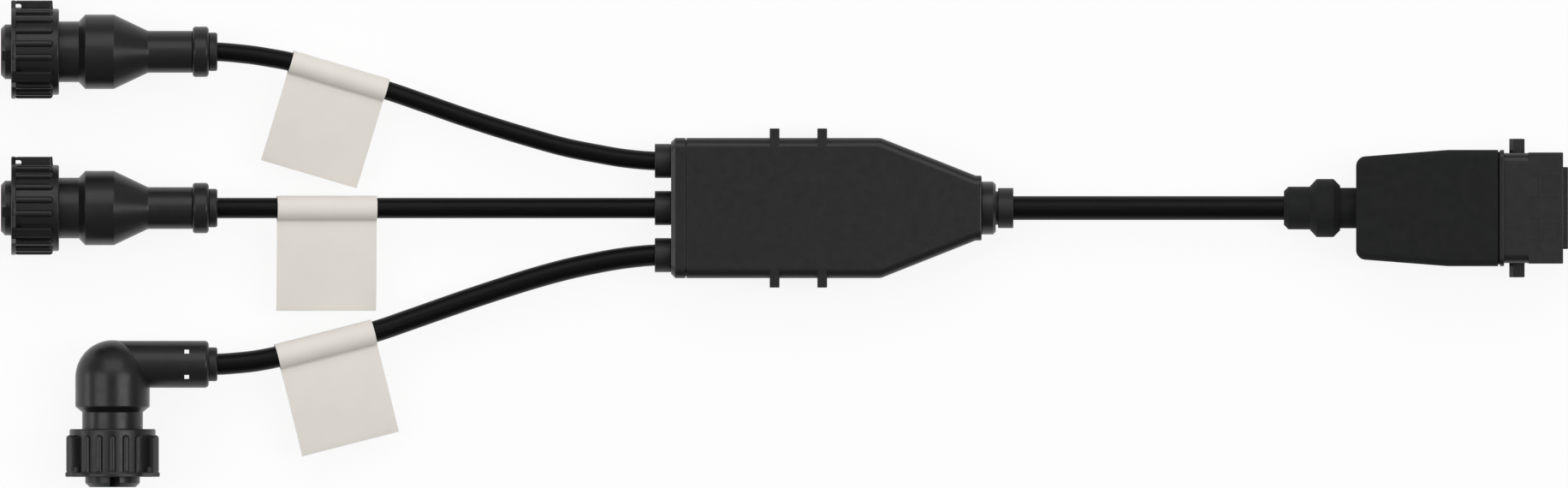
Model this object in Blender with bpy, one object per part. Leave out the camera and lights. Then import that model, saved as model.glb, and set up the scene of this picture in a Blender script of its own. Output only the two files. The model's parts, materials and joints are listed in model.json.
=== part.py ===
"""Three-to-one splitter harness.

Two straight circular connectors and a right-angle one feed three branch cables with flag
labels into a moulded splitter box. A trunk cable leaves the box for a hooded rectangular plug.
Units are metres, +Z is up. The origin is the centre of the splitter's underside,
+X points along the trunk and +Y to the upper branch.
"""

import math

import bmesh
import bpy
from mathutils import Matrix, Vector

# Fits shared by all pieces
CLEARANCE = 0.0003
ROUND_SIDES = 24
SEAL_SIDES = 16
CORE_SIDES = 8
CUT_MARGIN = 0.002

# Cables
UPPER_CABLE_DIAMETER = 0.0066
MIDDLE_CABLE_DIAMETER = 0.0072
LOWER_CABLE_DIAMETER = 0.0075
TRUNK_CABLE_DIAMETER = 0.0084
BRANCH_SAG = 0.002
TRUNK_SAG = 0.0012
CABLE_POINT_STEP = 2.2

# Where the cables leave the connectors
BRANCH_EXIT_X = -0.21345
UPPER_AXIS_Y = 0.05475
MIDDLE_AXIS_Y = 0.0
LOWER_AXIS_Y = -0.05475
TRUNK_ENTRY_X = 0.16035

# Contact insert of a circular connector
INSERT_RADIUS = 0.0096
INSERT_PROTRUSION = 0.0036
INSERT_CHAMFER = 0.0015
INSERT_STEP = 0.0012
INSERT_SPIGOT_LENGTH = 0.0088
KEY_WIDTH = 0.0033
KEY_DEPTH = 0.0030
KEY_LENGTH = 0.0060
STRAIGHT_KEY_TURN = math.radians(-9)
ELBOW_KEY_TURN = math.radians(-5)

# Contacts of a circular connector
CONTACT_RADIUS = 0.0010
CONTACT_CIRCLE = 0.0046
CONTACT_RECESS = 0.0012
CONTACT_TAIL = 0.0030
CORE_RADIUS = 0.0007
CORE_CIRCLE = 0.0016
CONTACT_COUNT = 4

# Coupling ring
FACE_SEAL_WIDTH = 0.0024
FACE_SEAL_LENGTH = 0.0018
THREAD_GAP = 0.0009
RING_WALL = 0.00195
FLANGE_HEIGHT = 0.00135
FLANGE_LENGTH = 0.0016
RIB_HEIGHT = 0.0012
RIB_WIDTH = 0.0024
RIB_CREST_WIDTH = 0.0014
RIB_LENGTH = 0.0131
RIB_END_SLOPE = 0.0009
RIB_ROOT_SLOPE = 0.0002
FIN_HEIGHT = 0.00285
FIN_WIDTH = 0.0034
FIN_ANGLE = math.radians(58.5)
FRONT_RIBS = 5
FRONT_RIB_PITCH = math.radians(18)
BACK_RIBS = 12
BACK_RIB_FIRST = math.radians(80)
WIRE_HOLE_LENGTH = 0.0018
WIRE_HOLE_HEIGHT = 0.0015
WIRE_HOLE_RISE = 0.0002
LIP_LENGTH = 0.0021
STRAIGHT_RING_TURN = math.radians(29)

# Backshell neck and body
NECK_WALL = 0.00195
NECK_COLLAR_LENGTH = 0.0025
NECK_EXPOSED = 0.0069
SHOULDER_STEP = 0.0024
SHOULDER_LENGTH = 0.0020
BODY_WALL = 0.0020
BODY_LENGTH = 0.0103
CONE_LENGTH = 0.0120
SLEEVE_WALL = 0.00205
SLEEVE_LENGTH = 0.0156

# Clamp nut and cable seal of a straight connector
SEAL_WALL = 0.0011
SEAL_INSERTION = 0.0060
SEAL_FLANGE_STEP = 0.00175
SEAL_FLANGE_LENGTH = 0.0033
SPIGOT_WALL = 0.0011
NUT_WALL = 0.00215
NUT_LENGTH = 0.0054
NUT_END_WALL = 0.0021
NUT_ROUND = 0.0010

# Right-angle connector
ELBOW_NECK_EXPOSED = 0.00585
ELBOW_BODY_LENGTH = 0.0102
DOME_STEPS = 5
ARM_WALL = 0.0021
ARM_LENGTH = 0.03375
ARM_DROP = 0.0002
ARM_ROUND = 0.0014
ELBOW_SEAL_WALL = 0.0018
ELBOW_SEAL_INSERTION = 0.0052
ELBOW_SEAL_PROTRUSION = 0.0030
WINDOW_SETBACK = 0.00695
WINDOW_SIZE = 0.0016
WINDOW_OFFSET = 0.0043
CLAMP_SLEEVE_LENGTH = 0.0100

# Splitter box
BOX_FRONT_X = -0.05445
END_PLATE_LENGTH = 0.0051
END_PLATE_CHAMFER = 0.0015
END_PLATE_LIP = 0.0034
HOUSING_LENGTH = 0.0684
TAPER_LENGTH = 0.0333
HOUSING_END_LENGTH = 0.0021
HOUSING_END_HALF_WIDTH = 0.0114
HOUSING_END_WALL = 0.0064
BOX_HEIGHT = 0.0240
BOX_WALL = 0.0025
BOX_FILLET = 0.0036
BASE_FILLET = 0.0010
FILLET_STEPS = 3
BRANCH_PITCH = 0.0165
EDGE_MARGIN = 0.0081
TIE_RIB_WIDTH = 0.00345
TIE_RIB_HEIGHT = 0.0033
TIE_RIB_DROP = 0.0004
TIE_RIB_FIRST = 0.0312
TIE_RIB_PITCH = 0.0167

# Grommets and trunk collar of the splitter
GROMMET_WALL = 0.00095
GROMMET_STEP = 0.0010
GROMMET_LENGTH = 0.0054
TRUNK_GROMMET_WALL = 0.0014
TRUNK_GROMMET_STEP = 0.00115
TRUNK_GROMMET_LENGTH = 0.0054
COLLAR_SPIGOT_WALL = 0.0016
COLLAR_STEP = 0.0015
COLLAR_LENGTH = 0.00465
COLLAR_CHAMFER = 0.0010
COLLAR_GROOVE = 0.00045

# Splice board and terminals inside the splitter
RAIL_HEIGHT = 0.0015
RAIL_WIDTH = 0.0030
RAIL_SPACING = 0.0300
BOARD_THICKNESS = 0.0016
BOARD_SETBACK = 0.0156
BOARD_LENGTH = 0.0437
TERMINAL_LENGTH = 0.0100
TERMINAL_HEIGHT = 0.0110
TRUNK_TERMINAL_WIDTH = 0.0200

# Strain relief of the plug
RELIEF_CHAMFER = 0.0016
RELIEF_WALL = 0.0030
RELIEF_SLEEVE_LENGTH = 0.0090
RELIEF_RING_STEP = 0.0027
RELIEF_RING_SLOPE = 0.0025
RELIEF_RING_LENGTH = 0.0059
RELIEF_NECK_STEP = 0.0003
RELIEF_NECK_LENGTH = 0.0051
RELIEF_SPIGOT_STEP = 0.0013
RELIEF_SPIGOT_LENGTH = 0.0050

# Plug insert, frame and hood
NOSE_HALF_WIDTH = 0.0144
NOSE_HALF_HEIGHT = 0.0085
NOSE_LENGTH = 0.0018
INSERT_FLANGE_STEP = 0.0016
INSERT_FLANGE_LENGTH = 0.0027
FRAME_WALL_Y = 0.0048
FRAME_WALL_Z = 0.0038
FRAME_LENGTH = 0.0207
FRAME_BLOCK_LENGTH = 0.0120
FRAME_FILLET = 0.0033
FRAME_BLOCK_STEP = 0.0002
FRAME_FLANGE_STEP = 0.0009
FRAME_FLANGE_LENGTH = 0.0015
FRAME_LIP_LENGTH = 0.0035
GASKET_WIDTH = 0.0009
GASKET_LENGTH = 0.0015
HOOD_SEAM = 0.0006
HOOD_LENGTH = 0.0498
HOOD_SLOPE_LENGTH = 0.0318
HOOD_SLOPE = 0.0024
HOOD_WALL = 0.0025
HOOD_END_WALL = 0.0032
HOOD_FILLET = 0.0028
PEG_WIDTH = 0.0054
PEG_CHAMFER = 0.0014
PEG_LENGTH = 0.0045
PEG_SETBACK = 0.0045
PEG_SPIGOT_RADIUS = 0.0018
PEG_SPIGOT_LENGTH = 0.0030
PLUG_CONTACT_RADIUS = 0.0016
PLUG_CONTACT_PITCH_Y = 0.0110
PLUG_CONTACT_PITCH_Z = 0.0070
PLUG_CONTACT_TAIL = 0.0060
PLUG_CORE_RADIUS = 0.0009
PLUG_CORE_CIRCLE = 0.0020
CABLE_IN_HOOD = 0.0060

# Flag labels
LABEL_WIDTH = 0.0350
LABEL_REACH = 0.0360
LABEL_FILM = 0.00025
LABEL_GAP = 0.0005
LABEL_DROOP = 0.0030
LABEL_SIDES = 14
LABEL_TAIL_STEPS = 4

# Free part of each branch cable in plan, from the connector to the splitter
UPPER_ROUTE = [
    (-0.2027, 0.0538), (-0.1966, 0.0529), (-0.18765, 0.0512), (-0.1710, 0.04632), (-0.15435, 0.04134),
    (-0.1396, 0.0363), (-0.1276, 0.0321), (-0.1156, 0.0282), (-0.1036, 0.0246), (-0.0916, 0.0213),
    (-0.0796, 0.0189), (-0.0706, 0.0174),
]
MIDDLE_ROUTE = [
    (-0.2026, 0.0), (-0.1922, 0.0), (-0.1751, 0.0), (-0.1582, 0.0), (-0.1360, 0.0),
    (-0.1130, 0.0), (-0.0910, 0.0), (-0.0730, 0.0),
]
LOWER_ROUTE = [
    (-0.2056, -0.0542), (-0.1996, -0.0535), (-0.19245, -0.0521), (-0.1755, -0.04775), (-0.15855, -0.0434),
    (-0.1456, -0.0390), (-0.1276, -0.0327), (-0.1156, -0.0287), (-0.1036, -0.0249), (-0.0916, -0.0216),
    (-0.0796, -0.0190), (-0.0706, -0.0175),
]
TRUNK_ROUTE = [(0.0820, 0.0), (0.0980, 0.0), (0.1130, 0.0), (0.1280, 0.0), (0.1440, 0.0)]

# Middle of each label on its cable, at the route point nearest to this X
UPPER_LABEL_X = -0.1710
MIDDLE_LABEL_X = -0.1751
LOWER_LABEL_X = -0.1755

# Sizes that follow from the ones above
UPPER_CABLE_RADIUS = UPPER_CABLE_DIAMETER / 2
MIDDLE_CABLE_RADIUS = MIDDLE_CABLE_DIAMETER / 2
LOWER_CABLE_RADIUS = LOWER_CABLE_DIAMETER / 2
TRUNK_CABLE_RADIUS = TRUNK_CABLE_DIAMETER / 2
BRANCH_CABLE_RADIUS = max(UPPER_CABLE_RADIUS, MIDDLE_CABLE_RADIUS, LOWER_CABLE_RADIUS)

INSERT_SPIGOT_RADIUS = INSERT_RADIUS - INSERT_STEP
NECK_BORE = INSERT_SPIGOT_RADIUS + CLEARANCE
NECK_RADIUS = NECK_BORE + NECK_WALL
NECK_COLLAR_RADIUS = INSERT_RADIUS + CLEARANCE + FACE_SEAL_WIDTH
THREAD_RADIUS = NECK_COLLAR_RADIUS + THREAD_GAP
RING_RADIUS = THREAD_RADIUS + RING_WALL
FLANGE_RADIUS = RING_RADIUS + FLANGE_HEIGHT
FIN_RADIUS = RING_RADIUS + FIN_HEIGHT
BODY_RADIUS = NECK_RADIUS + SHOULDER_STEP
BODY_CAVITY = BODY_RADIUS - BODY_WALL
AXIS_HEIGHT = FLANGE_RADIUS

# Stations along a circular connector, from the insert's tip to the cable
RING_FRONT = INSERT_PROTRUSION
FLANGE_REAR = RING_FRONT + FLANGE_LENGTH
RIB_REAR = FLANGE_REAR + RIB_LENGTH
RING_REAR = RIB_REAR + LIP_LENGTH
NECK_COLLAR_REAR = RIB_REAR - CLEARANCE
NECK_FRONT = NECK_COLLAR_REAR - NECK_COLLAR_LENGTH
INSERT_SHOULDER = NECK_FRONT - CLEARANCE
INSERT_REAR = INSERT_SHOULDER + INSERT_SPIGOT_LENGTH
FACE_SEAL_FRONT = INSERT_SHOULDER - FACE_SEAL_LENGTH
CONTACT_REAR = INSERT_REAR + CONTACT_TAIL

SEAL_RADIUS = max(UPPER_CABLE_RADIUS, MIDDLE_CABLE_RADIUS) + CLEARANCE + SEAL_WALL
SLEEVE_BORE = SEAL_RADIUS + CLEARANCE
SLEEVE_RADIUS = SLEEVE_BORE + SLEEVE_WALL
SPIGOT_RADIUS = SLEEVE_BORE + SPIGOT_WALL
NUT_BORE = SPIGOT_RADIUS + CLEARANCE
NUT_RADIUS = NUT_BORE + NUT_WALL
SHOULDER_FRONT = RING_REAR + NECK_EXPOSED
SHOULDER_REAR = SHOULDER_FRONT + SHOULDER_LENGTH
BODY_REAR = SHOULDER_REAR + BODY_LENGTH
CONE_REAR = BODY_REAR + CONE_LENGTH
SLEEVE_REAR = CONE_REAR + SLEEVE_LENGTH
NUT_REAR = SLEEVE_REAR + NUT_LENGTH
SPIGOT_REAR = NUT_REAR - NUT_END_WALL - CLEARANCE
STRAIGHT_LENGTH = NUT_REAR + SEAL_FLANGE_LENGTH

ELBOW_SEAL_RADIUS = LOWER_CABLE_RADIUS + CLEARANCE + ELBOW_SEAL_WALL
ARM_BORE = ELBOW_SEAL_RADIUS + CLEARANCE
ARM_RADIUS = ARM_BORE + ARM_WALL
ELBOW_SHOULDER_FRONT = RING_REAR + ELBOW_NECK_EXPOSED
ELBOW_SHOULDER_REAR = ELBOW_SHOULDER_FRONT + SHOULDER_LENGTH
DOME_STATION = ELBOW_SHOULDER_REAR + ELBOW_BODY_LENGTH
ARM_STATION = DOME_STATION + BODY_RADIUS - ARM_RADIUS - ARM_DROP
ARM_END_X = BRANCH_EXIT_X - ELBOW_SEAL_PROTRUSION
ELBOW_X = ARM_END_X - ARM_LENGTH
WINDOW_REAR_X = ARM_END_X - WINDOW_SETBACK
CLAMP_SLEEVE_END_X = WINDOW_REAR_X - WINDOW_SIZE - CLEARANCE
CLAMP_SLEEVE_START_X = CLAMP_SLEEVE_END_X - CLAMP_SLEEVE_LENGTH
LOWER_CABLE_END_X = CLAMP_SLEEVE_START_X - CLAMP_SLEEVE_LENGTH / 4

END_PLATE_X = BOX_FRONT_X + END_PLATE_LENGTH
HOUSING_X = END_PLATE_X + CLEARANCE
TAPER_X = END_PLATE_X + HOUSING_LENGTH
TAPER_END_X = TAPER_X + TAPER_LENGTH
BOX_END_X = TAPER_END_X + HOUSING_END_LENGTH
BOX_HALF_WIDTH = BRANCH_PITCH + EDGE_MARGIN
BOX_AXIS_Z = BOX_HEIGHT / 2
POCKET_END_X = BOX_END_X - HOUSING_END_WALL
GROMMET_RADIUS = BRANCH_CABLE_RADIUS + CLEARANCE + GROMMET_WALL
GROMMET_X = BOX_FRONT_X - CLEARANCE - GROMMET_LENGTH
TRUNK_GROMMET_RADIUS = TRUNK_CABLE_RADIUS + CLEARANCE + TRUNK_GROMMET_WALL
COLLAR_BORE = TRUNK_GROMMET_RADIUS + CLEARANCE
COLLAR_SPIGOT_RADIUS = COLLAR_BORE + COLLAR_SPIGOT_WALL
COLLAR_RADIUS = COLLAR_SPIGOT_RADIUS + COLLAR_STEP
COLLAR_X = BOX_END_X + CLEARANCE
COLLAR_END_X = COLLAR_X + COLLAR_LENGTH
TRUNK_GROMMET_X = COLLAR_END_X + CLEARANCE + COLLAR_GROOVE
TRUNK_EXIT_X = TRUNK_GROMMET_X + TRUNK_GROMMET_LENGTH
RAIL_TOP = BOX_WALL + RAIL_HEIGHT
BOARD_BOTTOM = RAIL_TOP + CLEARANCE
BOARD_TOP = BOARD_BOTTOM + BOARD_THICKNESS
BOARD_X = END_PLATE_X + END_PLATE_LIP + BOARD_SETBACK - END_PLATE_LENGTH
BOARD_END_X = BOARD_X + BOARD_LENGTH
BOARD_HALF_WIDTH = BOX_HALF_WIDTH - BOX_WALL - CLEARANCE

RELIEF_RADIUS = TRUNK_CABLE_RADIUS + CLEARANCE + RELIEF_WALL
RELIEF_RING_RADIUS = RELIEF_RADIUS + RELIEF_RING_STEP
RELIEF_NECK_RADIUS = RELIEF_RADIUS - RELIEF_NECK_STEP
RELIEF_SPIGOT_RADIUS = RELIEF_NECK_RADIUS - RELIEF_SPIGOT_STEP
RELIEF_RING_X = TRUNK_ENTRY_X + RELIEF_SLEEVE_LENGTH
RELIEF_NECK_X = RELIEF_RING_X + 2 * RELIEF_RING_SLOPE + RELIEF_RING_LENGTH
RELIEF_END_X = RELIEF_NECK_X + RELIEF_NECK_LENGTH
HOOD_X = RELIEF_END_X + CLEARANCE
HOOD_SLOPE_END_X = HOOD_X + HOOD_SLOPE_LENGTH
HOOD_END_X = HOOD_X + HOOD_LENGTH
FRAME_FLANGE_X = HOOD_END_X + HOOD_SEAM
FRAME_X = FRAME_FLANGE_X + FRAME_FLANGE_LENGTH
FRAME_END_X = FRAME_X + FRAME_LENGTH
FRAME_BLOCK_X = FRAME_END_X - FRAME_BLOCK_LENGTH
FRAME_LIP_X = FRAME_FLANGE_X - FRAME_LIP_LENGTH
NOSE_END_X = FRAME_END_X + NOSE_LENGTH
POCKET_HALF_WIDTH = NOSE_HALF_WIDTH + CLEARANCE
POCKET_HALF_HEIGHT = NOSE_HALF_HEIGHT + CLEARANCE
FRAME_HALF_WIDTH = POCKET_HALF_WIDTH + FRAME_WALL_Y
FRAME_HALF_HEIGHT = POCKET_HALF_HEIGHT + FRAME_WALL_Z
PLUG_HALF_WIDTH = FRAME_HALF_WIDTH + FRAME_FLANGE_STEP
PLUG_HALF_HEIGHT = FRAME_HALF_HEIGHT + FRAME_FLANGE_STEP
PLUG_AXIS_Z = PLUG_HALF_HEIGHT
LIP_HALF_WIDTH = PLUG_HALF_WIDTH - HOOD_WALL - CLEARANCE
LIP_HALF_HEIGHT = PLUG_HALF_HEIGHT - HOOD_WALL - CLEARANCE
TRUNK_CABLE_END_X = HOOD_X + CABLE_IN_HOOD


def clear_scene():
    for item in list(bpy.data.objects):
        bpy.data.objects.remove(item, do_unlink=True)


def make_material(name, colour, roughness, metallic=0.0):
    material = bpy.data.materials.new(name)
    material.use_nodes = True
    shader = material.node_tree.nodes["Principled BSDF"]
    shader.inputs["Base Color"].default_value = (*colour, 1.0)
    shader.inputs["Roughness"].default_value = roughness
    shader.inputs["Metallic"].default_value = metallic
    return material


def add_object(name, bm, material, origin=(0, 0, 0), heading=0.0):
    """Turn a bmesh into a named object at origin, turned by heading about +Z."""
    bmesh.ops.recalc_face_normals(bm, faces=bm.faces)
    mesh = bpy.data.meshes.new(name)
    bm.to_mesh(mesh)
    bm.free()
    mesh.shade_smooth()
    mesh.set_sharp_from_angle(angle=math.radians(30))
    item = bpy.data.objects.new(name, mesh)
    item.location = origin
    item.rotation_euler = (0, 0, heading)
    item.data.materials.append(material)
    bpy.context.scene.collection.objects.link(item)
    return item


def combine(target, tool, operation):
    """Apply tool to target with a live Boolean; tool stays in target's frame as a guide."""
    tool.parent = target
    tool.hide_render = True
    tool.display_type = "WIRE"
    boolean = target.modifiers.new(tool.name, "BOOLEAN")
    boolean.operation = operation
    boolean.object = tool


def cut(target, tool):
    combine(target, tool, "DIFFERENCE")


def unite(target, tool):
    combine(target, tool, "UNION")


def turned(profile, sides=ROUND_SIDES, matrix=Matrix()):
    """Solid of revolution about X from (station, radius) points; angles start at +Z towards +Y."""
    bm = bmesh.new()
    rings = []
    for station, radius in profile:
        if radius == 0:
            rings.append([bm.verts.new((station, 0, 0))] * sides)
            continue
        angles = [2 * math.pi * k / sides for k in range(sides)]
        rings.append([bm.verts.new((station, radius * math.sin(a), radius * math.cos(a))) for a in angles])
    following = rings[1:]
    if profile[0][1] > 0:
        following = rings[1:] + rings[:1]
    for low, high in zip(rings, following):
        for k in range(sides):
            corners = [low[k], low[k - 1], high[k - 1], high[k]]
            bm.faces.new(list(dict.fromkeys(corners)))
    bm.transform(matrix)
    return bm


def lofted(sections):
    """Closed solid through (x, [(y, z), ...]) sections of equal point count."""
    bm = bmesh.new()
    loops = [[bm.verts.new((x, y, z)) for y, z in outline] for x, outline in sections]
    for low, high in zip(loops, loops[1:]):
        for k in range(len(low)):
            bm.faces.new((low[k], low[k - 1], high[k - 1], high[k]))
    bm.faces.new(loops[0])
    bm.faces.new(list(reversed(loops[-1])))
    return bm


def block(low, high):
    """Box between two corners."""
    outline = [(low[1], low[2]), (high[1], low[2]), (high[1], high[2]), (low[1], high[2])]
    return lofted([(low[0], outline), (high[0], outline)])


def rounded_section(half_width, bottom, top, base_radius, top_radius, steps=FILLET_STEPS):
    """Rectangle in the YZ plane with rounded bottom and top corners."""
    corners = [
        (half_width, bottom, base_radius, -90),
        (half_width, top, top_radius, 0),
        (-half_width, top, top_radius, 90),
        (-half_width, bottom, base_radius, 180),
    ]
    outline = []
    for y, z, radius, start in corners:
        centre_y = y - math.copysign(radius, y)
        centre_z = z - radius if z == top else z + radius
        for k in range(steps + 1):
            angle = math.radians(start + 90 * k / steps)
            outline.append((centre_y + radius * math.cos(angle), centre_z + radius * math.sin(angle)))
    return outline


def smooth_path(points, step):
    """Points no further than step apart on a smooth curve through the given points."""
    path = []
    padded = [2 * points[0] - points[1]] + points + [2 * points[-1] - points[-2]]
    for before, start, end, after in zip(padded, padded[1:], padded[2:], padded[3:]):
        span = (end - start).length
        lead_in = (end - before) * span / ((start - before).length + span)
        lead_out = (after - start) * span / ((after - end).length + span)
        count = max(1, math.ceil(span / step))
        for k in range(count):
            t = k / count
            near = (1 + 2 * t) * (1 - t) ** 2 * start + t * (1 - t) ** 2 * lead_in
            far = t * t * (3 - 2 * t) * end - t * t * (1 - t) * lead_out
            path.append(near + far)
    path.append(points[-1])
    return path


def tube(name, points, radii, material, bevel_resolution):
    """Round rod along points, as a curve with its own radius at each point."""
    curve = bpy.data.curves.new(name, "CURVE")
    curve.dimensions = "3D"
    curve.bevel_depth = 1.0
    curve.bevel_resolution = bevel_resolution
    curve.use_fill_caps = True
    curve.materials.append(material)
    spline = curve.splines.new("POLY")
    spline.points.add(len(points) - 1)
    for knot, point, radius in zip(spline.points, points, radii):
        knot.co = (*point, 1.0)
        knot.radius = radius
    item = bpy.data.objects.new(name, curve)
    bpy.context.scene.collection.objects.link(item)
    return item


def contact(name, barrel, core, barrel_radius, core_radius, material):
    """Turned contact with the crimped core that joins it to the cable."""
    points = barrel + core
    radii = [barrel_radius] * len(barrel) + [core_radius] * len(core)
    return tube(name, points, radii, material, bevel_resolution=1)


def contact_spots(circle):
    """Places of a circular connector's contacts in the plane across its axis."""
    turns = [2 * math.pi * (k + 0.5) / CONTACT_COUNT for k in range(CONTACT_COUNT)]
    return [(circle * math.sin(a), circle * math.cos(a)) for a in turns]


# Coupling ring

def ring_features():
    """Angle, height, foot width and crest width of every rib and fin, in order round the ring."""
    middle = (FRONT_RIBS - 1) / 2
    pitch = 2 * (math.pi - BACK_RIB_FIRST) / (BACK_RIBS - 1)
    angles = [(k - middle) * FRONT_RIB_PITCH for k in range(FRONT_RIBS)]
    angles += [BACK_RIB_FIRST + k * pitch for k in range(BACK_RIBS)]
    ribs = [(angle, RIB_HEIGHT, RIB_WIDTH, RIB_CREST_WIDTH) for angle in angles]
    fins = [(angle, FIN_HEIGHT, FIN_WIDTH, FIN_WIDTH) for angle in (-FIN_ANGLE, FIN_ANGLE)]
    return sorted(ribs + fins)


def ring_loop(turn, floor_radius, top_radius):
    """Cross-section of the ring: four corners for each rib or fin."""
    loop = []
    for angle, height, foot_width, crest_width in ring_features():
        foot = math.asin(foot_width / 2 / RING_RADIUS)
        crest = math.asin(crest_width / 2 / (RING_RADIUS + height))
        top = top_radius(height)
        for offset, radius in ((-foot, floor_radius), (-crest, top), (crest, top), (foot, floor_radius)):
            place = turn + angle + offset
            loop.append((radius * math.sin(place), radius * math.cos(place)))
    return loop


def coupling_ring(name, origin, heading, turn, material):
    flange = ring_loop(turn, FLANGE_RADIUS, lambda height: max(FLANGE_RADIUS, RING_RADIUS + height))
    ribbed = ring_loop(turn, RING_RADIUS, lambda height: RING_RADIUS + height)
    plain = ring_loop(turn, RING_RADIUS, lambda height: RING_RADIUS)
    ring = add_object(name, lofted([
        (RING_FRONT, flange),
        (FLANGE_REAR, flange),
        (FLANGE_REAR + RIB_ROOT_SLOPE, ribbed),
        (RIB_REAR - RIB_END_SLOPE, ribbed),
        (RIB_REAR, plain),
        (RING_REAR, plain),
    ]), material, origin, heading)
    lip_bore = NECK_RADIUS + CLEARANCE
    cut(ring, add_object(name + "_bore", turned([
        (RING_FRONT - CUT_MARGIN, 0),
        (RING_FRONT - CUT_MARGIN, THREAD_RADIUS),
        (RIB_REAR, THREAD_RADIUS),
        (RIB_REAR, lip_bore),
        (RING_REAR + CUT_MARGIN, lip_bore),
        (RING_REAR + CUT_MARGIN, 0),
    ]), material))
    hole_start = FLANGE_REAR + RIB_ROOT_SLOPE
    hole_floor = RING_RADIUS + WIRE_HOLE_RISE
    for side, fin_angle in (("a", -FIN_ANGLE), ("b", FIN_ANGLE)):
        hole = block(
            (hole_start, -FIN_WIDTH, hole_floor),
            (hole_start + WIRE_HOLE_LENGTH, FIN_WIDTH, hole_floor + WIRE_HOLE_HEIGHT),
        )
        hole.transform(Matrix.Rotation(-(turn + fin_angle), 4, "X"))
        cut(ring, add_object(name + "_wire_hole_" + side, hole, material))
    return ring


# Insert, face seal and contacts of a circular connector

def contact_insert(name, origin, heading, key_turn, material):
    insert = add_object(name, turned([
        (0, 0),
        (0, INSERT_RADIUS - INSERT_CHAMFER),
        (INSERT_CHAMFER, INSERT_RADIUS),
        (INSERT_SHOULDER, INSERT_RADIUS),
        (INSERT_SHOULDER, INSERT_SPIGOT_RADIUS),
        (INSERT_REAR, INSERT_SPIGOT_RADIUS),
        (INSERT_REAR, 0),
    ]), material, origin, heading)
    key = block(
        (-CUT_MARGIN, -KEY_WIDTH / 2, INSERT_RADIUS - KEY_DEPTH),
        (KEY_LENGTH, KEY_WIDTH / 2, INSERT_RADIUS + CUT_MARGIN),
    )
    key.transform(Matrix.Rotation(-key_turn, 4, "X"))
    cut(insert, add_object(name + "_key", key, material))
    bore = CONTACT_RADIUS + CLEARANCE
    for number, (y, z) in enumerate(contact_spots(CONTACT_CIRCLE), start=1):
        hole = turned([
            (-CUT_MARGIN, 0),
            (-CUT_MARGIN, bore),
            (INSERT_REAR + CUT_MARGIN, bore),
            (INSERT_REAR + CUT_MARGIN, 0),
        ], CORE_SIDES, Matrix.Translation((0, y, z)))
        cut(insert, add_object(f"{name}_hole_{number}", hole, material))
    return insert


def face_seal(name, origin, heading, material):
    inner = INSERT_RADIUS + CLEARANCE
    return add_object(name, turned([
        (FACE_SEAL_FRONT, inner),
        (FACE_SEAL_FRONT, NECK_COLLAR_RADIUS),
        (INSERT_SHOULDER, NECK_COLLAR_RADIUS),
        (INSERT_SHOULDER, inner),
    ], SEAL_SIDES), material, origin, heading)


def connector_front(prefix, origin, heading, ring_turn, key_turn, finish):
    coupling_ring(prefix + "_coupling_ring", origin, heading, ring_turn, finish["shell"])
    contact_insert(prefix + "_contact_insert", origin, heading, key_turn, finish["insert"])
    face_seal(prefix + "_face_seal", origin, heading, finish["rubber"])


# Straight circular connector

def straight_backshell(name, origin, material):
    return add_object(name, turned([
        (NECK_FRONT, NECK_BORE),
        (NECK_FRONT, NECK_COLLAR_RADIUS),
        (NECK_COLLAR_REAR, NECK_COLLAR_RADIUS),
        (NECK_COLLAR_REAR, NECK_RADIUS),
        (SHOULDER_FRONT, NECK_RADIUS),
        (SHOULDER_REAR, BODY_RADIUS),
        (BODY_REAR, BODY_RADIUS),
        (CONE_REAR, SLEEVE_RADIUS),
        (SLEEVE_REAR, SLEEVE_RADIUS),
        (SLEEVE_REAR, SPIGOT_RADIUS),
        (SPIGOT_REAR, SPIGOT_RADIUS),
        (SPIGOT_REAR, SLEEVE_BORE),
        (CONE_REAR, SLEEVE_BORE),
        (BODY_REAR, BODY_CAVITY),
        (SHOULDER_REAR, BODY_CAVITY),
        (SHOULDER_REAR, NECK_BORE),
    ]), material, origin)


def clamp_nut(name, origin, material):
    front = SLEEVE_REAR + CLEARANCE
    return add_object(name, turned([
        (front, NUT_BORE),
        (front, NUT_RADIUS - NUT_ROUND),
        (front + NUT_ROUND, NUT_RADIUS),
        (NUT_REAR - NUT_ROUND, NUT_RADIUS),
        (NUT_REAR, NUT_RADIUS - NUT_ROUND),
        (NUT_REAR, SLEEVE_BORE),
        (NUT_REAR - NUT_END_WALL, SLEEVE_BORE),
        (NUT_REAR - NUT_END_WALL, NUT_BORE),
    ]), material, origin)


def cable_seal(name, origin, cable_radius, material):
    bore = cable_radius + CLEARANCE
    flange_front = NUT_REAR + CLEARANCE
    return add_object(name, turned([
        (SLEEVE_REAR - SEAL_INSERTION, bore),
        (SLEEVE_REAR - SEAL_INSERTION, SEAL_RADIUS),
        (flange_front, SEAL_RADIUS),
        (flange_front, SEAL_RADIUS + SEAL_FLANGE_STEP),
        (STRAIGHT_LENGTH, SEAL_RADIUS + SEAL_FLANGE_STEP),
        (STRAIGHT_LENGTH, bore),
    ], SEAL_SIDES), material, origin)


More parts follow.
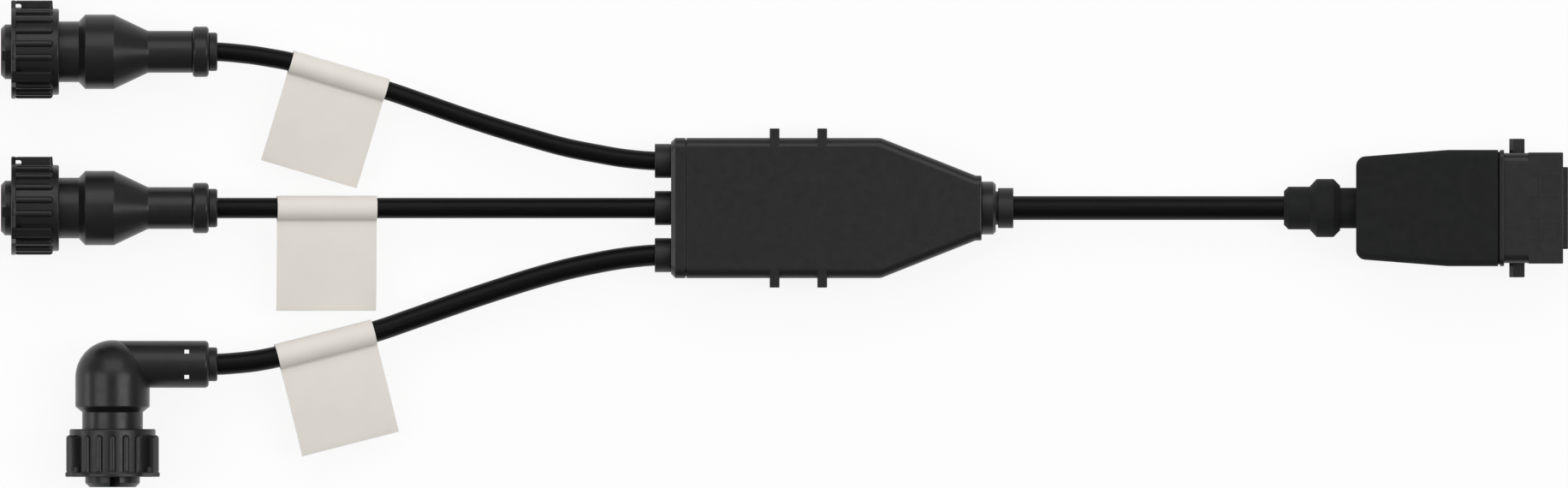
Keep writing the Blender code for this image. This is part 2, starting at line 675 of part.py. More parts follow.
def straight_contacts(prefix, origin, material):
    rows = zip(contact_spots(CONTACT_CIRCLE), contact_spots(CORE_CIRCLE))
    for number, ((y, z), (core_y, core_z)) in enumerate(rows, start=1):
        barrel = [origin + Vector((s, y, z)) for s in (CONTACT_RECESS, CONTACT_REAR)]
        start = origin + Vector((CONTACT_REAR + CONTACT_RADIUS, y, z))
        end = origin + Vector((CONE_REAR - CLEARANCE, core_y, core_z))
        bend = (end - start) / 4
        core = [start, start + Vector((bend.x, 0, 0)), end - Vector((bend.x, 0, 0)), end]
        contact(f"{prefix}_contact_{number}", barrel, core, CONTACT_RADIUS, CORE_RADIUS, material)


def straight_connector(prefix, axis_y, cable_radius, finish):
    origin = Vector((BRANCH_EXIT_X - STRAIGHT_LENGTH, axis_y, AXIS_HEIGHT))
    connector_front(prefix, origin, 0.0, STRAIGHT_RING_TURN, STRAIGHT_KEY_TURN, finish)
    straight_backshell(prefix + "_backshell", origin, finish["shell"])
    clamp_nut(prefix + "_clamp_nut", origin, finish["shell"])
    cable_seal(prefix + "_cable_seal", origin, cable_radius, finish["rubber"])
    straight_contacts(prefix, origin, finish["contact"])


# Right-angle circular connector

def dome_profile(radius):
    """Quarter circle that closes a round body at its rear pole."""
    turns = [math.pi / 2 * k / DOME_STEPS for k in range(1, DOME_STEPS)]
    arc = [(DOME_STATION + radius * math.sin(a), radius * math.cos(a)) for a in turns]
    return [(DOME_STATION, radius)] + arc + [(DOME_STATION + radius, 0)]


def elbow_backshell(name, origin, heading, material):
    shell = add_object(name, turned([
        (NECK_FRONT, 0),
        (NECK_FRONT, NECK_COLLAR_RADIUS),
        (NECK_COLLAR_REAR, NECK_COLLAR_RADIUS),
        (NECK_COLLAR_REAR, NECK_RADIUS),
        (ELBOW_SHOULDER_FRONT, NECK_RADIUS),
        (ELBOW_SHOULDER_REAR, BODY_RADIUS),
    ] + dome_profile(BODY_RADIUS)), material, origin, heading)
    across = Matrix.Translation((ARM_STATION, 0, 0)) @ Matrix.Rotation(-math.pi / 2, 4, "Z")
    unite(shell, add_object(name + "_arm", turned([
        (0, 0),
        (0, ARM_RADIUS),
        (ARM_LENGTH - ARM_ROUND, ARM_RADIUS),
        (ARM_LENGTH, ARM_RADIUS - ARM_ROUND),
        (ARM_LENGTH, 0),
    ], ROUND_SIDES, across), material))
    for side, offset in (("a", WINDOW_OFFSET), ("b", -WINDOW_OFFSET)):
        window = block(
            (ARM_LENGTH - WINDOW_SETBACK - WINDOW_SIZE, offset - WINDOW_SIZE / 2, -ARM_RADIUS - CUT_MARGIN),
            (ARM_LENGTH - WINDOW_SETBACK, offset + WINDOW_SIZE / 2, ARM_RADIUS + CUT_MARGIN),
        )
        window.transform(across)
        cut(shell, add_object(name + "_window_" + side, window, material))
    cut(shell, add_object(name + "_cavity", turned([
        (NECK_FRONT - CUT_MARGIN, 0),
        (NECK_FRONT - CUT_MARGIN, NECK_BORE),
        (ELBOW_SHOULDER_REAR, NECK_BORE),
        (ELBOW_SHOULDER_REAR, BODY_CAVITY),
    ] + dome_profile(BODY_CAVITY)), material))
    cut(shell, add_object(name + "_arm_bore", turned([
        (0, 0),
        (0, ARM_BORE),
        (ARM_LENGTH + CUT_MARGIN, ARM_BORE),
        (ARM_LENGTH + CUT_MARGIN, 0),
    ], ROUND_SIDES, across), material))
    return shell


def elbow_contacts(prefix, origin, heading, material):
    """Contacts run along the ring's axis, and their cores turn into the arm."""
    turn = Matrix.Translation(origin) @ Matrix.Rotation(heading, 4, "Z")
    arm_reach = LOWER_CABLE_END_X - ELBOW_X
    rows = zip(contact_spots(CONTACT_CIRCLE), contact_spots(CORE_CIRCLE))
    for number, ((y, z), (core_y, core_z)) in enumerate(rows, start=1):
        barrel = [Vector((s, y, z)) for s in (CONTACT_RECESS, CONTACT_REAR)]
        end = Vector((ARM_STATION + core_y, -(arm_reach - CLEARANCE), core_z))
        start = Vector((CONTACT_REAR + CONTACT_RADIUS, y, z))
        corner = Vector((end.x, start.y, (start.z + end.z) / 2))
        inside = start.lerp(end, 0.5).lerp(corner, 0.5)
        core = [start, start.lerp(corner, 0.5), inside, end.lerp(corner, 0.5), end]
        points = [turn @ point for point in barrel]
        bend = [turn @ point for point in core]
        contact(f"{prefix}_contact_{number}", points, bend, CONTACT_RADIUS, CORE_RADIUS, material)


def elbow_connector(prefix, axis_y, cable_radius, finish):
    origin = Vector((ELBOW_X, axis_y - ARM_STATION, AXIS_HEIGHT))
    heading = math.pi / 2
    connector_front(prefix, origin, heading, 0.0, ELBOW_KEY_TURN, finish)
    elbow_backshell(prefix + "_backshell", origin, heading, finish["shell"])
    elbow_contacts(prefix, origin, heading, finish["contact"])
    bore = cable_radius + CLEARANCE
    arm_axis = Vector((0, axis_y, AXIS_HEIGHT))
    add_object(prefix + "_clamp_sleeve", turned([
        (CLAMP_SLEEVE_START_X, bore),
        (CLAMP_SLEEVE_START_X, ELBOW_SEAL_RADIUS),
        (CLAMP_SLEEVE_END_X, ELBOW_SEAL_RADIUS),
        (CLAMP_SLEEVE_END_X, bore),
    ], SEAL_SIDES), finish["insert"], arm_axis)
    add_object(prefix + "_cable_seal", turned([
        (ARM_END_X - ELBOW_SEAL_INSERTION, bore),
        (ARM_END_X - ELBOW_SEAL_INSERTION, ELBOW_SEAL_RADIUS),
        (BRANCH_EXIT_X, ELBOW_SEAL_RADIUS),
        (BRANCH_EXIT_X, bore),
    ], SEAL_SIDES), finish["rubber"], arm_axis)


# Splitter box

def box_section(half_width):
    return rounded_section(half_width, 0, BOX_HEIGHT, BASE_FILLET, BOX_FILLET)


def pocket_section(half_width):
    inner_top = max(BOX_FILLET - BOX_WALL, BASE_FILLET)
    return rounded_section(half_width, BOX_WALL, BOX_HEIGHT - BOX_WALL, BASE_FILLET, inner_top)


def splitter_housing(name, material):
    housing = add_object(name, lofted([
        (HOUSING_X, box_section(BOX_HALF_WIDTH)),
        (TAPER_X, box_section(BOX_HALF_WIDTH)),
        (TAPER_END_X, box_section(HOUSING_END_HALF_WIDTH)),
        (BOX_END_X, box_section(HOUSING_END_HALF_WIDTH)),
    ]), material)
    for number in range(2):
        for side, sign in (("upper", 1), ("lower", -1)):
            start = END_PLATE_X + TIE_RIB_FIRST + number * TIE_RIB_PITCH - TIE_RIB_WIDTH / 2
            inner = sign * (BOX_HALF_WIDTH - BOX_FILLET)
            outer = sign * (BOX_HALF_WIDTH + TIE_RIB_HEIGHT)
            rib = block(
                (start, min(inner, outer), BASE_FILLET),
                (start + TIE_RIB_WIDTH, max(inner, outer), BOX_HEIGHT - TIE_RIB_DROP),
            )
            unite(housing, add_object(f"{name}_{side}_rib_{number + 1}", rib, material))
    slope = (BOX_HALF_WIDTH - HOUSING_END_HALF_WIDTH) / TAPER_LENGTH
    wide = BOX_HALF_WIDTH - BOX_WALL
    pocket_taper_x = TAPER_X - BOX_WALL * math.tan(math.atan(slope) / 2)
    narrow = wide - slope * (POCKET_END_X - pocket_taper_x)
    cut(housing, add_object(name + "_pocket", lofted([
        (HOUSING_X - CUT_MARGIN, pocket_section(wide)),
        (pocket_taper_x, pocket_section(wide)),
        (POCKET_END_X, pocket_section(narrow)),
    ]), material))
    for side, y in (("upper", RAIL_SPACING / 2), ("lower", -RAIL_SPACING / 2)):
        rail = block(
            (BOARD_X, y - RAIL_WIDTH / 2, BOX_WALL / 2),
            (BOARD_END_X, y + RAIL_WIDTH / 2, RAIL_TOP),
        )
        unite(housing, add_object(f"{name}_{side}_rail", rail, material))
    outlet = COLLAR_SPIGOT_RADIUS + CLEARANCE
    cut(housing, add_object(name + "_outlet", turned([
        (POCKET_END_X - CUT_MARGIN, 0),
        (POCKET_END_X - CUT_MARGIN, outlet),
        (BOX_END_X + CUT_MARGIN, outlet),
        (BOX_END_X + CUT_MARGIN, 0),
    ], matrix=Matrix.Translation((0, 0, BOX_AXIS_Z))), material))
    return housing


def splitter_end_plate(name, material):
    chamfer = END_PLATE_CHAMFER
    lip_half = BOX_HALF_WIDTH - BOX_WALL - CLEARANCE
    lip_bottom = BOX_WALL + CLEARANCE
    lip_top = BOX_HEIGHT - BOX_WALL - CLEARANCE
    lip = rounded_section(lip_half, lip_bottom, lip_top, BASE_FILLET, max(BOX_FILLET - BOX_WALL, BASE_FILLET))
    face = rounded_section(BOX_HALF_WIDTH - chamfer, chamfer, BOX_HEIGHT - chamfer, BASE_FILLET, BOX_FILLET)
    plate = add_object(name, lofted([
        (BOX_FRONT_X, face),
        (BOX_FRONT_X + chamfer, box_section(BOX_HALF_WIDTH)),
        (END_PLATE_X, box_section(BOX_HALF_WIDTH)),
        (END_PLATE_X, lip),
        (END_PLATE_X + END_PLATE_LIP, lip),
    ]), material)
    hole = GROMMET_RADIUS + CLEARANCE
    for number, y in enumerate((BRANCH_PITCH, 0, -BRANCH_PITCH), start=1):
        cut(plate, add_object(f"{name}_hole_{number}", turned([
            (BOX_FRONT_X - CUT_MARGIN, 0),
            (BOX_FRONT_X - CUT_MARGIN, hole),
            (END_PLATE_X + END_PLATE_LIP + CUT_MARGIN, hole),
            (END_PLATE_X + END_PLATE_LIP + CUT_MARGIN, 0),
        ], matrix=Matrix.Translation((0, y, BOX_AXIS_Z))), material))
    return plate


def branch_grommet(name, axis_y, cable_radius, material):
    bore = cable_radius + CLEARANCE
    flange_rear = GROMMET_X + GROMMET_LENGTH
    return add_object(name, turned([
        (GROMMET_X, bore),
        (GROMMET_X, GROMMET_RADIUS + GROMMET_STEP),
        (flange_rear, GROMMET_RADIUS + GROMMET_STEP),
        (flange_rear, GROMMET_RADIUS),
        (END_PLATE_X + END_PLATE_LIP, GROMMET_RADIUS),
        (END_PLATE_X + END_PLATE_LIP, bore),
    ], SEAL_SIDES), material, (0, axis_y, BOX_AXIS_Z))


def trunk_collar(name, material):
    return add_object(name, turned([
        (POCKET_END_X, COLLAR_BORE),
        (POCKET_END_X, COLLAR_SPIGOT_RADIUS),
        (COLLAR_X, COLLAR_SPIGOT_RADIUS),
        (COLLAR_X, COLLAR_RADIUS),
        (COLLAR_END_X - COLLAR_CHAMFER, COLLAR_RADIUS),
        (COLLAR_END_X, COLLAR_RADIUS - COLLAR_CHAMFER),
        (COLLAR_END_X, COLLAR_BORE),
    ]), material, (0, 0, BOX_AXIS_Z))


def trunk_grommet(name, material):
    bore = TRUNK_CABLE_RADIUS + CLEARANCE
    return add_object(name, turned([
        (POCKET_END_X, bore),
        (POCKET_END_X, TRUNK_GROMMET_RADIUS),
        (TRUNK_GROMMET_X, TRUNK_GROMMET_RADIUS),
        (TRUNK_GROMMET_X, TRUNK_GROMMET_RADIUS + TRUNK_GROMMET_STEP),
        (TRUNK_EXIT_X, TRUNK_GROMMET_RADIUS + TRUNK_GROMMET_STEP),
        (TRUNK_EXIT_X, bore),
    ], SEAL_SIDES), material, (0, 0, BOX_AXIS_Z))


def splice_board(finish):
    bottom = BOARD_TOP + CLEARANCE
    top = bottom + TERMINAL_HEIGHT
    add_object("splitter_splice_board", block(
        (BOARD_X, -BOARD_HALF_WIDTH, BOARD_BOTTOM),
        (BOARD_END_X, BOARD_HALF_WIDTH, BOARD_TOP),
    ), finish["board"])
    add_object("splitter_branch_terminal", block(
        (BOARD_X, -BOARD_HALF_WIDTH, bottom),
        (BOARD_X + TERMINAL_LENGTH, BOARD_HALF_WIDTH, top),
    ), finish["insert"])
    add_object("splitter_trunk_terminal", block(
        (BOARD_END_X - TERMINAL_LENGTH, -TRUNK_TERMINAL_WIDTH / 2, bottom),
        (BOARD_END_X, TRUNK_TERMINAL_WIDTH / 2, top),
    ), finish["insert"])


def splitter(finish):
    splitter_housing("splitter_housing", finish["shell"])
    splitter_end_plate("splitter_end_plate", finish["shell"])
    branch_grommet("splitter_upper_grommet", BRANCH_PITCH, UPPER_CABLE_RADIUS, finish["rubber"])
    branch_grommet("splitter_middle_grommet", 0, MIDDLE_CABLE_RADIUS, finish["rubber"])
    branch_grommet("splitter_lower_grommet", -BRANCH_PITCH, LOWER_CABLE_RADIUS, finish["rubber"])
    trunk_collar("splitter_trunk_collar", finish["shell"])
    trunk_grommet("splitter_trunk_grommet", finish["rubber"])
    splice_board(finish)


# Trunk plug

def plug_section(half_width, half_height, radius):
    bottom = PLUG_AXIS_Z - half_height
    return rounded_section(half_width, bottom, PLUG_AXIS_Z + half_height, radius, radius)


def strain_relief(name, material):
    bore = TRUNK_CABLE_RADIUS + CLEARANCE
    ring_start = RELIEF_RING_X + RELIEF_RING_SLOPE
    ring_end = ring_start + RELIEF_RING_LENGTH
    return add_object(name, turned([
        (TRUNK_ENTRY_X, bore),
        (TRUNK_ENTRY_X, RELIEF_RADIUS - RELIEF_CHAMFER),
        (TRUNK_ENTRY_X + RELIEF_CHAMFER, RELIEF_RADIUS),
        (RELIEF_RING_X, RELIEF_RADIUS),
        (ring_start, RELIEF_RING_RADIUS),
        (ring_end, RELIEF_RING_RADIUS),
        (RELIEF_NECK_X, RELIEF_NECK_RADIUS),
        (RELIEF_END_X, RELIEF_NECK_RADIUS),
        (RELIEF_END_X, RELIEF_SPIGOT_RADIUS),
        (RELIEF_END_X + RELIEF_SPIGOT_LENGTH, RELIEF_SPIGOT_RADIUS),
        (RELIEF_END_X + RELIEF_SPIGOT_LENGTH, bore),
    ]), material, (0, 0, PLUG_AXIS_Z))


def plug_hood(name, material):
    rear_half_width = PLUG_HALF_WIDTH - HOOD_SLOPE
    corner = HOOD_FILLET
    sections = []
    for k in range(FILLET_STEPS + 1):
        angle = math.pi / 2 * k / FILLET_STEPS
        inset = corner * (1 - math.sin(angle))
        x = HOOD_X + corner * (1 - math.cos(angle))
        sections.append((x, plug_section(rear_half_width - inset, PLUG_HALF_HEIGHT - inset, corner)))
    full = plug_section(PLUG_HALF_WIDTH, PLUG_HALF_HEIGHT, corner)
    hood = add_object(name, lofted(sections + [(HOOD_SLOPE_END_X, full), (HOOD_END_X, full)]), material)
    wall = HOOD_WALL
    inner_height = PLUG_HALF_HEIGHT - wall
    radius = max(corner - wall, CLEARANCE)
    front = plug_section(PLUG_HALF_WIDTH - wall, inner_height, radius)
    cut(hood, add_object(name + "_pocket", lofted([
        (HOOD_X + HOOD_END_WALL, plug_section(rear_half_width - wall, inner_height, radius)),
        (HOOD_SLOPE_END_X, front),
        (HOOD_END_X + CUT_MARGIN, front),
    ]), material))
    rebate = GASKET_WIDTH + CLEARANCE
    seat = plug_section(PLUG_HALF_WIDTH - wall + rebate, inner_height + rebate, corner)
    seat_x = FRAME_FLANGE_X - CLEARANCE - GASKET_LENGTH - CLEARANCE
    cut(hood, add_object(name + "_gasket_seat", lofted([
        (seat_x, seat),
        (HOOD_END_X + CUT_MARGIN, seat),
    ]), material))
    inlet = RELIEF_SPIGOT_RADIUS + CLEARANCE
    cut(hood, add_object(name + "_inlet", turned([
        (HOOD_X - CUT_MARGIN, 0),
        (HOOD_X - CUT_MARGIN, inlet),
        (HOOD_X + HOOD_END_WALL + CUT_MARGIN, inlet),
        (HOOD_X + HOOD_END_WALL + CUT_MARGIN, 0),
    ], matrix=Matrix.Translation((0, 0, PLUG_AXIS_Z))), material))
    return hood


def hood_gasket(name, material):
    start = FRAME_FLANGE_X - CLEARANCE - GASKET_LENGTH
    end = FRAME_FLANGE_X - CLEARANCE
    inner_half_width = LIP_HALF_WIDTH + CLEARANCE
    inner_half_height = LIP_HALF_HEIGHT + CLEARANCE
    corner = max(HOOD_FILLET - HOOD_WALL, CLEARANCE)
    outer = plug_section(inner_half_width + GASKET_WIDTH, inner_half_height + GASKET_WIDTH, HOOD_FILLET)
    gasket = add_object(name, lofted([(start, outer), (end, outer)]), material)
    inner = plug_section(inner_half_width, inner_half_height, corner)
    cut(gasket, add_object(name + "_hole", lofted([
        (start - CUT_MARGIN, inner),
        (end + CUT_MARGIN, inner),
    ]), material))
    return gasket


def plug_frame(name, material):
    flange = plug_section(PLUG_HALF_WIDTH, PLUG_HALF_HEIGHT, HOOD_FILLET)
    lip = plug_section(LIP_HALF_WIDTH, LIP_HALF_HEIGHT, CLEARANCE)
    body_half_width = FRAME_HALF_WIDTH - FRAME_BLOCK_STEP
    body = plug_section(body_half_width, FRAME_HALF_HEIGHT - FRAME_BLOCK_STEP, FRAME_FILLET)
    square = plug_section(FRAME_HALF_WIDTH, FRAME_HALF_HEIGHT, CLEARANCE)
    frame = add_object(name, lofted([
        (FRAME_LIP_X, lip),
        (FRAME_FLANGE_X, lip),
        (FRAME_FLANGE_X, flange),
        (FRAME_X, flange),
        (FRAME_X, body),
        (FRAME_BLOCK_X, body),
        (FRAME_BLOCK_X, square),
        (FRAME_END_X, square),
    ]), material)
    opening = plug_section(POCKET_HALF_WIDTH, POCKET_HALF_HEIGHT, CLEARANCE)
    cut(frame, add_object(name + "_opening", lofted([
        (FRAME_LIP_X - CUT_MARGIN, opening),
        (FRAME_END_X + CUT_MARGIN, opening),
    ]), material))
    step = INSERT_FLANGE_STEP
    seat = plug_section(POCKET_HALF_WIDTH + step, POCKET_HALF_HEIGHT + step, CLEARANCE)
    cut(frame, add_object(name + "_insert_seat", lofted([
        (FRAME_LIP_X - CUT_MARGIN, seat),
        (FRAME_FLANGE_X, seat),
    ]), material))
    hole = PEG_SPIGOT_RADIUS + CLEARANCE
    reach = FRAME_HALF_WIDTH + CUT_MARGIN
    depth = FRAME_HALF_WIDTH - PEG_SPIGOT_LENGTH - CLEARANCE
    for side, sign in (("upper", 1), ("lower", -1)):
        place = Matrix.Translation((FRAME_X + PEG_SETBACK, 0, PLUG_AXIS_Z))
        outward = place @ Matrix.Rotation(sign * math.pi / 2, 4, "Z")
        cut(frame, add_object(f"{name}_{side}_peg_hole", turned([
            (depth, 0),
            (depth, hole),
            (reach, hole),
            (reach, 0),
        ], CORE_SIDES, outward), material))
    return frame


def plug_insert(name, material):
    nose = plug_section(NOSE_HALF_WIDTH, NOSE_HALF_HEIGHT, CLEARANCE)
    flange_half_width = NOSE_HALF_WIDTH + INSERT_FLANGE_STEP
    flange = plug_section(flange_half_width, NOSE_HALF_HEIGHT + INSERT_FLANGE_STEP, CLEARANCE)
    flange_front = FRAME_FLANGE_X - CLEARANCE
    rear = flange_front - INSERT_FLANGE_LENGTH
    insert = add_object(name, lofted([
        (rear, flange),
        (flange_front, flange),
        (flange_front, nose),
        (NOSE_END_X, nose),
    ]), material)
    bore = PLUG_CONTACT_RADIUS + CLEARANCE
    for number, (y, z) in enumerate(plug_contact_spots(), start=1):
        cut(insert, add_object(f"{name}_hole_{number}", turned([
            (rear - CUT_MARGIN, 0),
            (rear - CUT_MARGIN, bore),
            (NOSE_END_X + CUT_MARGIN, bore),
            (NOSE_END_X + CUT_MARGIN, 0),
        ], CORE_SIDES, Matrix.Translation((0, y, PLUG_AXIS_Z + z))), material))
    return insert


def plug_contact_spots():
    half_y = PLUG_CONTACT_PITCH_Y / 2
    half_z = PLUG_CONTACT_PITCH_Z / 2
    return [(half_y, half_z), (half_y, -half_z), (-half_y, -half_z), (-half_y, half_z)]


def plug_contacts(material):
    rear = FRAME_FLANGE_X - CLEARANCE - INSERT_FLANGE_LENGTH - PLUG_CONTACT_TAIL
    rows = zip(plug_contact_spots(), contact_spots(PLUG_CORE_CIRCLE))
    for number, ((y, z), (core_y, core_z)) in enumerate(rows, start=1):
        axis = Vector((0, y, PLUG_AXIS_Z + z))
        barrel = [axis + Vector((x, 0, 0)) for x in (NOSE_END_X - CONTACT_RECESS, rear)]
        start = axis + Vector((rear - PLUG_CONTACT_RADIUS, 0, 0))
        end = Vector((TRUNK_CABLE_END_X + CLEARANCE, core_y, PLUG_AXIS_Z + core_z))
        bend = Vector(((end - start).x / 4, 0, 0))
        core = [start, start + bend, end - bend, end]
        contact(f"plug_contact_{number}", barrel, core, PLUG_CONTACT_RADIUS, PLUG_CORE_RADIUS, material)


def locking_peg(name, sign, material):
    """Square bar with chamfered edges on a round spigot."""
    half = PEG_WIDTH / 2
    inner = FRAME_HALF_WIDTH - PEG_SPIGOT_LENGTH
    seat = FRAME_HALF_WIDTH + CLEARANCE
    root = seat + PEG_LENGTH / 2
    outline = rounded_section(half, -half, half, PEG_CHAMFER, PEG_CHAMFER, steps=1)
    bar = lofted([(seat, outline), (seat + PEG_LENGTH, outline)])
    place = (FRAME_X + PEG_SETBACK, 0, PLUG_AXIS_Z)
    peg = add_object(name, bar, material, place, sign * math.pi / 2)
    unite(peg, add_object(name + "_spigot", turned([
        (inner, 0),
        (inner, PEG_SPIGOT_RADIUS),
        (root, PEG_SPIGOT_RADIUS),
        (root, 0),
    ], 2 * CORE_SIDES), material))
    return peg


def trunk_plug(finish):
    strain_relief("plug_strain_relief", finish["shell"])
    plug_hood("plug_hood", finish["shell"])
    hood_gasket("plug_hood_gasket", finish["rubber"])
    plug_frame("plug_frame", finish["shell"])
    plug_insert("plug_insert", finish["insert"])
    locking_peg("plug_upper_peg", 1, finish["shell"])
    locking_peg("plug_lower_peg", -1, finish["shell"])
    plug_contacts(finish["contact"])


# Cables and their labels

def cable_height(x, start_x, end_x, start_z, end_z, sag):
    """Height of a cable that eases from one outlet to the other and sags between them."""
    t = min(1.0, max(0.0, (x - start_x) / (end_x - start_x)))
    ease = t * t * (3 - 2 * t)
    return start_z + (end_z - start_z) * ease - sag * math.sin(math.pi * t) ** 2


def branch_points(route, axis_y, end_x, grommet_y):
    """Route of a branch cable from its contacts, through its seal and grommet, to the terminal."""
    plan = [(end_x, axis_y), ((end_x + BRANCH_EXIT_X) / 2, axis_y), (BRANCH_EXIT_X, axis_y)]
    plan += route
    inner_x = END_PLATE_X + END_PLATE_LIP
    plan += [(GROMMET_X, grommet_y), (inner_x, grommet_y), (BOARD_X - CLEARANCE, grommet_y)]
    heights = (BRANCH_EXIT_X, GROMMET_X, AXIS_HEIGHT, BOX_AXIS_Z, BRANCH_SAG)
    return [Vector((x, y, cable_height(x, *heights))) for x, y in plan]


def trunk_points():
    plan = [(BOARD_END_X + CLEARANCE, 0), (POCKET_END_X, 0), (TRUNK_EXIT_X, 0)]
    plan += TRUNK_ROUTE
    plan += [(TRUNK_ENTRY_X, 0), (RELIEF_NECK_X, 0), (TRUNK_CABLE_END_X, 0)]
    heights = (TRUNK_EXIT_X, TRUNK_ENTRY_X, BOX_AXIS_Z, PLUG_AXIS_Z, TRUNK_SAG)
    return [Vector((x, y, cable_height(x, *heights))) for x, y in plan]


def cable(name, points, diameter, material):
    path = smooth_path(points, CABLE_POINT_STEP * diameter)
    tube(name, path, [diameter / 2] * len(path), material, bevel_resolution=4)


def flag_label(name, points, label_x, cable_radius, material):
    """Film folded round the cable, its two ends joined into a flag towards -Y."""
    middle = min(range(len(points)), key=lambda k: abs(points[k].x - label_x))
    along = (points[middle + 1] - points[middle - 1]).normalized()
    side = along.cross(Vector((0, 0, 1))).normalized()
    up = side.cross(along)
    inner = cable_radius + LABEL_GAP
    outer = inner + LABEL_FILM
    split = math.asin(LABEL_FILM / outer)
    start = points[middle] - along * LABEL_WIDTH / 2
    bm = bmesh.new()

    def place(reach, height):
        return bm.verts.new(start + side * reach + up * height)

    turns = [split + (2 * math.pi - 2 * split) * k / (LABEL_SIDES - 1) for k in range(LABEL_SIDES)]
    inside = [place(inner * math.cos(a), inner * math.sin(a)) for a in turns]
    outside = [place(outer * math.cos(a), outer * math.sin(a)) for a in turns]
    for k in range(LABEL_SIDES):
        bm.faces.new((inside[k - 1], outside[k - 1], outside[k], inside[k]))
    root = outer * math.cos(split)
    upper, lower = outside[0], outside[-1]
    for k in range(1, LABEL_TAIL_STEPS + 1):
        share = k / LABEL_TAIL_STEPS
        reach = root + (LABEL_REACH - root) * share
        drop = -LABEL_DROOP * share ** 2
        next_upper = place(reach, drop + LABEL_FILM)
        next_lower = place(reach, drop - LABEL_FILM)
        bm.faces.new((lower, next_lower, next_upper, upper))
        upper, lower = next_upper, next_lower
    swept = bmesh.ops.extrude_face_region(bm, geom=list(bm.faces))
    moved = [item for item in swept["geom"] if isinstance(item, bmesh.types.BMVert)]
    bmesh.ops.translate(bm, verts=moved, vec=along * LABEL_WIDTH)
    return add_object(name, bm, material)


def cables_and_labels(finish):
    straight_end = BRANCH_EXIT_X - STRAIGHT_LENGTH + CONE_REAR
    upper = branch_points(UPPER_ROUTE, UPPER_AXIS_Y, straight_end, BRANCH_PITCH)
    middle = branch_points(MIDDLE_ROUTE, MIDDLE_AXIS_Y, straight_end, 0)
    lower = branch_points(LOWER_ROUTE, LOWER_AXIS_Y, LOWER_CABLE_END_X, -BRANCH_PITCH)
    cable("upper_cable", upper, UPPER_CABLE_DIAMETER, finish["cable"])
    cable("middle_cable", middle, MIDDLE_CABLE_DIAMETER, finish["cable"])
    cable("lower_cable", lower, LOWER_CABLE_DIAMETER, finish["cable"])
    cable("trunk_cable", trunk_points(), TRUNK_CABLE_DIAMETER, finish["cable"])
    flag_label("upper_label", upper, UPPER_LABEL_X, UPPER_CABLE_RADIUS, finish["label"])
    flag_label("middle_label", middle, MIDDLE_LABEL_X, MIDDLE_CABLE_RADIUS, finish["label"])
    flag_label("lower_label", lower, LOWER_LABEL_X, LOWER_CABLE_RADIUS, finish["label"])


def build():
    clear_scene()
    finish = {
        "shell": make_material("moulded_plastic", (0.028, 0.028, 0.029), 0.55),
        "insert": make_material("insert_plastic", (0.022, 0.022, 0.023), 0.60),
        "rubber": make_material("black_rubber", (0.018, 0.018, 0.018), 0.75),
        "cable": make_material("cable_jacket", (0.010, 0.010, 0.010), 0.45),
        "label": make_material("label_film", (0.70, 0.66, 0.61), 0.60),
        "contact": make_material("plated_brass", (0.62, 0.50, 0.27), 0.30, 1.0),
        "board": make_material("board_laminate", (0.03, 0.13, 0.06), 0.50),
    }
    straight_connector("upper", UPPER_AXIS_Y, UPPER_CABLE_RADIUS, finish)
    straight_connector("middle", MIDDLE_AXIS_Y, MIDDLE_CABLE_RADIUS, finish)
    elbow_connector("elbow", LOWER_AXIS_Y, LOWER_CABLE_RADIUS, finish)
    splitter(finish)
    trunk_plug(finish)
    cables_and_labels(finish)


build()
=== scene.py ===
"""Looks of the three-to-one splitter harness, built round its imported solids.

Units are metres, +Z is up. A circular connector is modelled along its own +X, from the tip of its
contact insert, with angles counted from +Z towards +Y, and is then placed on its axis.
"""

import json
from math import acos, asin, atan, atan2, ceil, copysign, cos, dist, hypot, pi, radians, sin, sqrt, tan

import bmesh
import bpy
from mathutils import Matrix, Vector

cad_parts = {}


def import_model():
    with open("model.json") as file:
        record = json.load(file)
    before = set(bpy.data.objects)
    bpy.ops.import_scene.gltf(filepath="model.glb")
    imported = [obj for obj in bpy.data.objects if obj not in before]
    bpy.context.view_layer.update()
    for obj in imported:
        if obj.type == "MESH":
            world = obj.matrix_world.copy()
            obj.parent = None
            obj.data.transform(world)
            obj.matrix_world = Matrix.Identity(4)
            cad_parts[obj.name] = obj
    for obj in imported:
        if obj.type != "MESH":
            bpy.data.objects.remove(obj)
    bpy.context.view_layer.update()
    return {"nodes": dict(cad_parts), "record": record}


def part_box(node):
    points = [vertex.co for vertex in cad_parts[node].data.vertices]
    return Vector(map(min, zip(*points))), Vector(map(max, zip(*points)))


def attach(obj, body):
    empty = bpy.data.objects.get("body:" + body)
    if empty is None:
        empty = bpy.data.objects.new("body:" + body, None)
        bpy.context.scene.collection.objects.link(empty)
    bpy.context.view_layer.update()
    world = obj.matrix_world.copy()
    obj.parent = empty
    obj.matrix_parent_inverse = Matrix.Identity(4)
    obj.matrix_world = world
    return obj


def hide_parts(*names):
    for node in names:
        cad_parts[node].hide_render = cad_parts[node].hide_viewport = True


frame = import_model()
RECORD = frame["record"]
BODY_OF = {node: body for body, nodes in RECORD["behaviour"]["bodies"].items() for node in nodes}

# Picture frame of the photograph
PHOTO_WIDTH = 1832
METRES_PER_PIXEL = 0.0003
VIEW_CENTRE = (-0.01485, -0.0126)
CAMERA_HEIGHT = 1.0

# Resolution of the meshes
TURN_SIDES = 96
SMALL_SIDES = 32
CORE_SIDES = 16
FILLET_STEPS = 5
SECTION_STEPS = 8
EDGE_STEPS = 4
BEVEL_STEPS = 3
SHARP_ANGLE = radians(32)

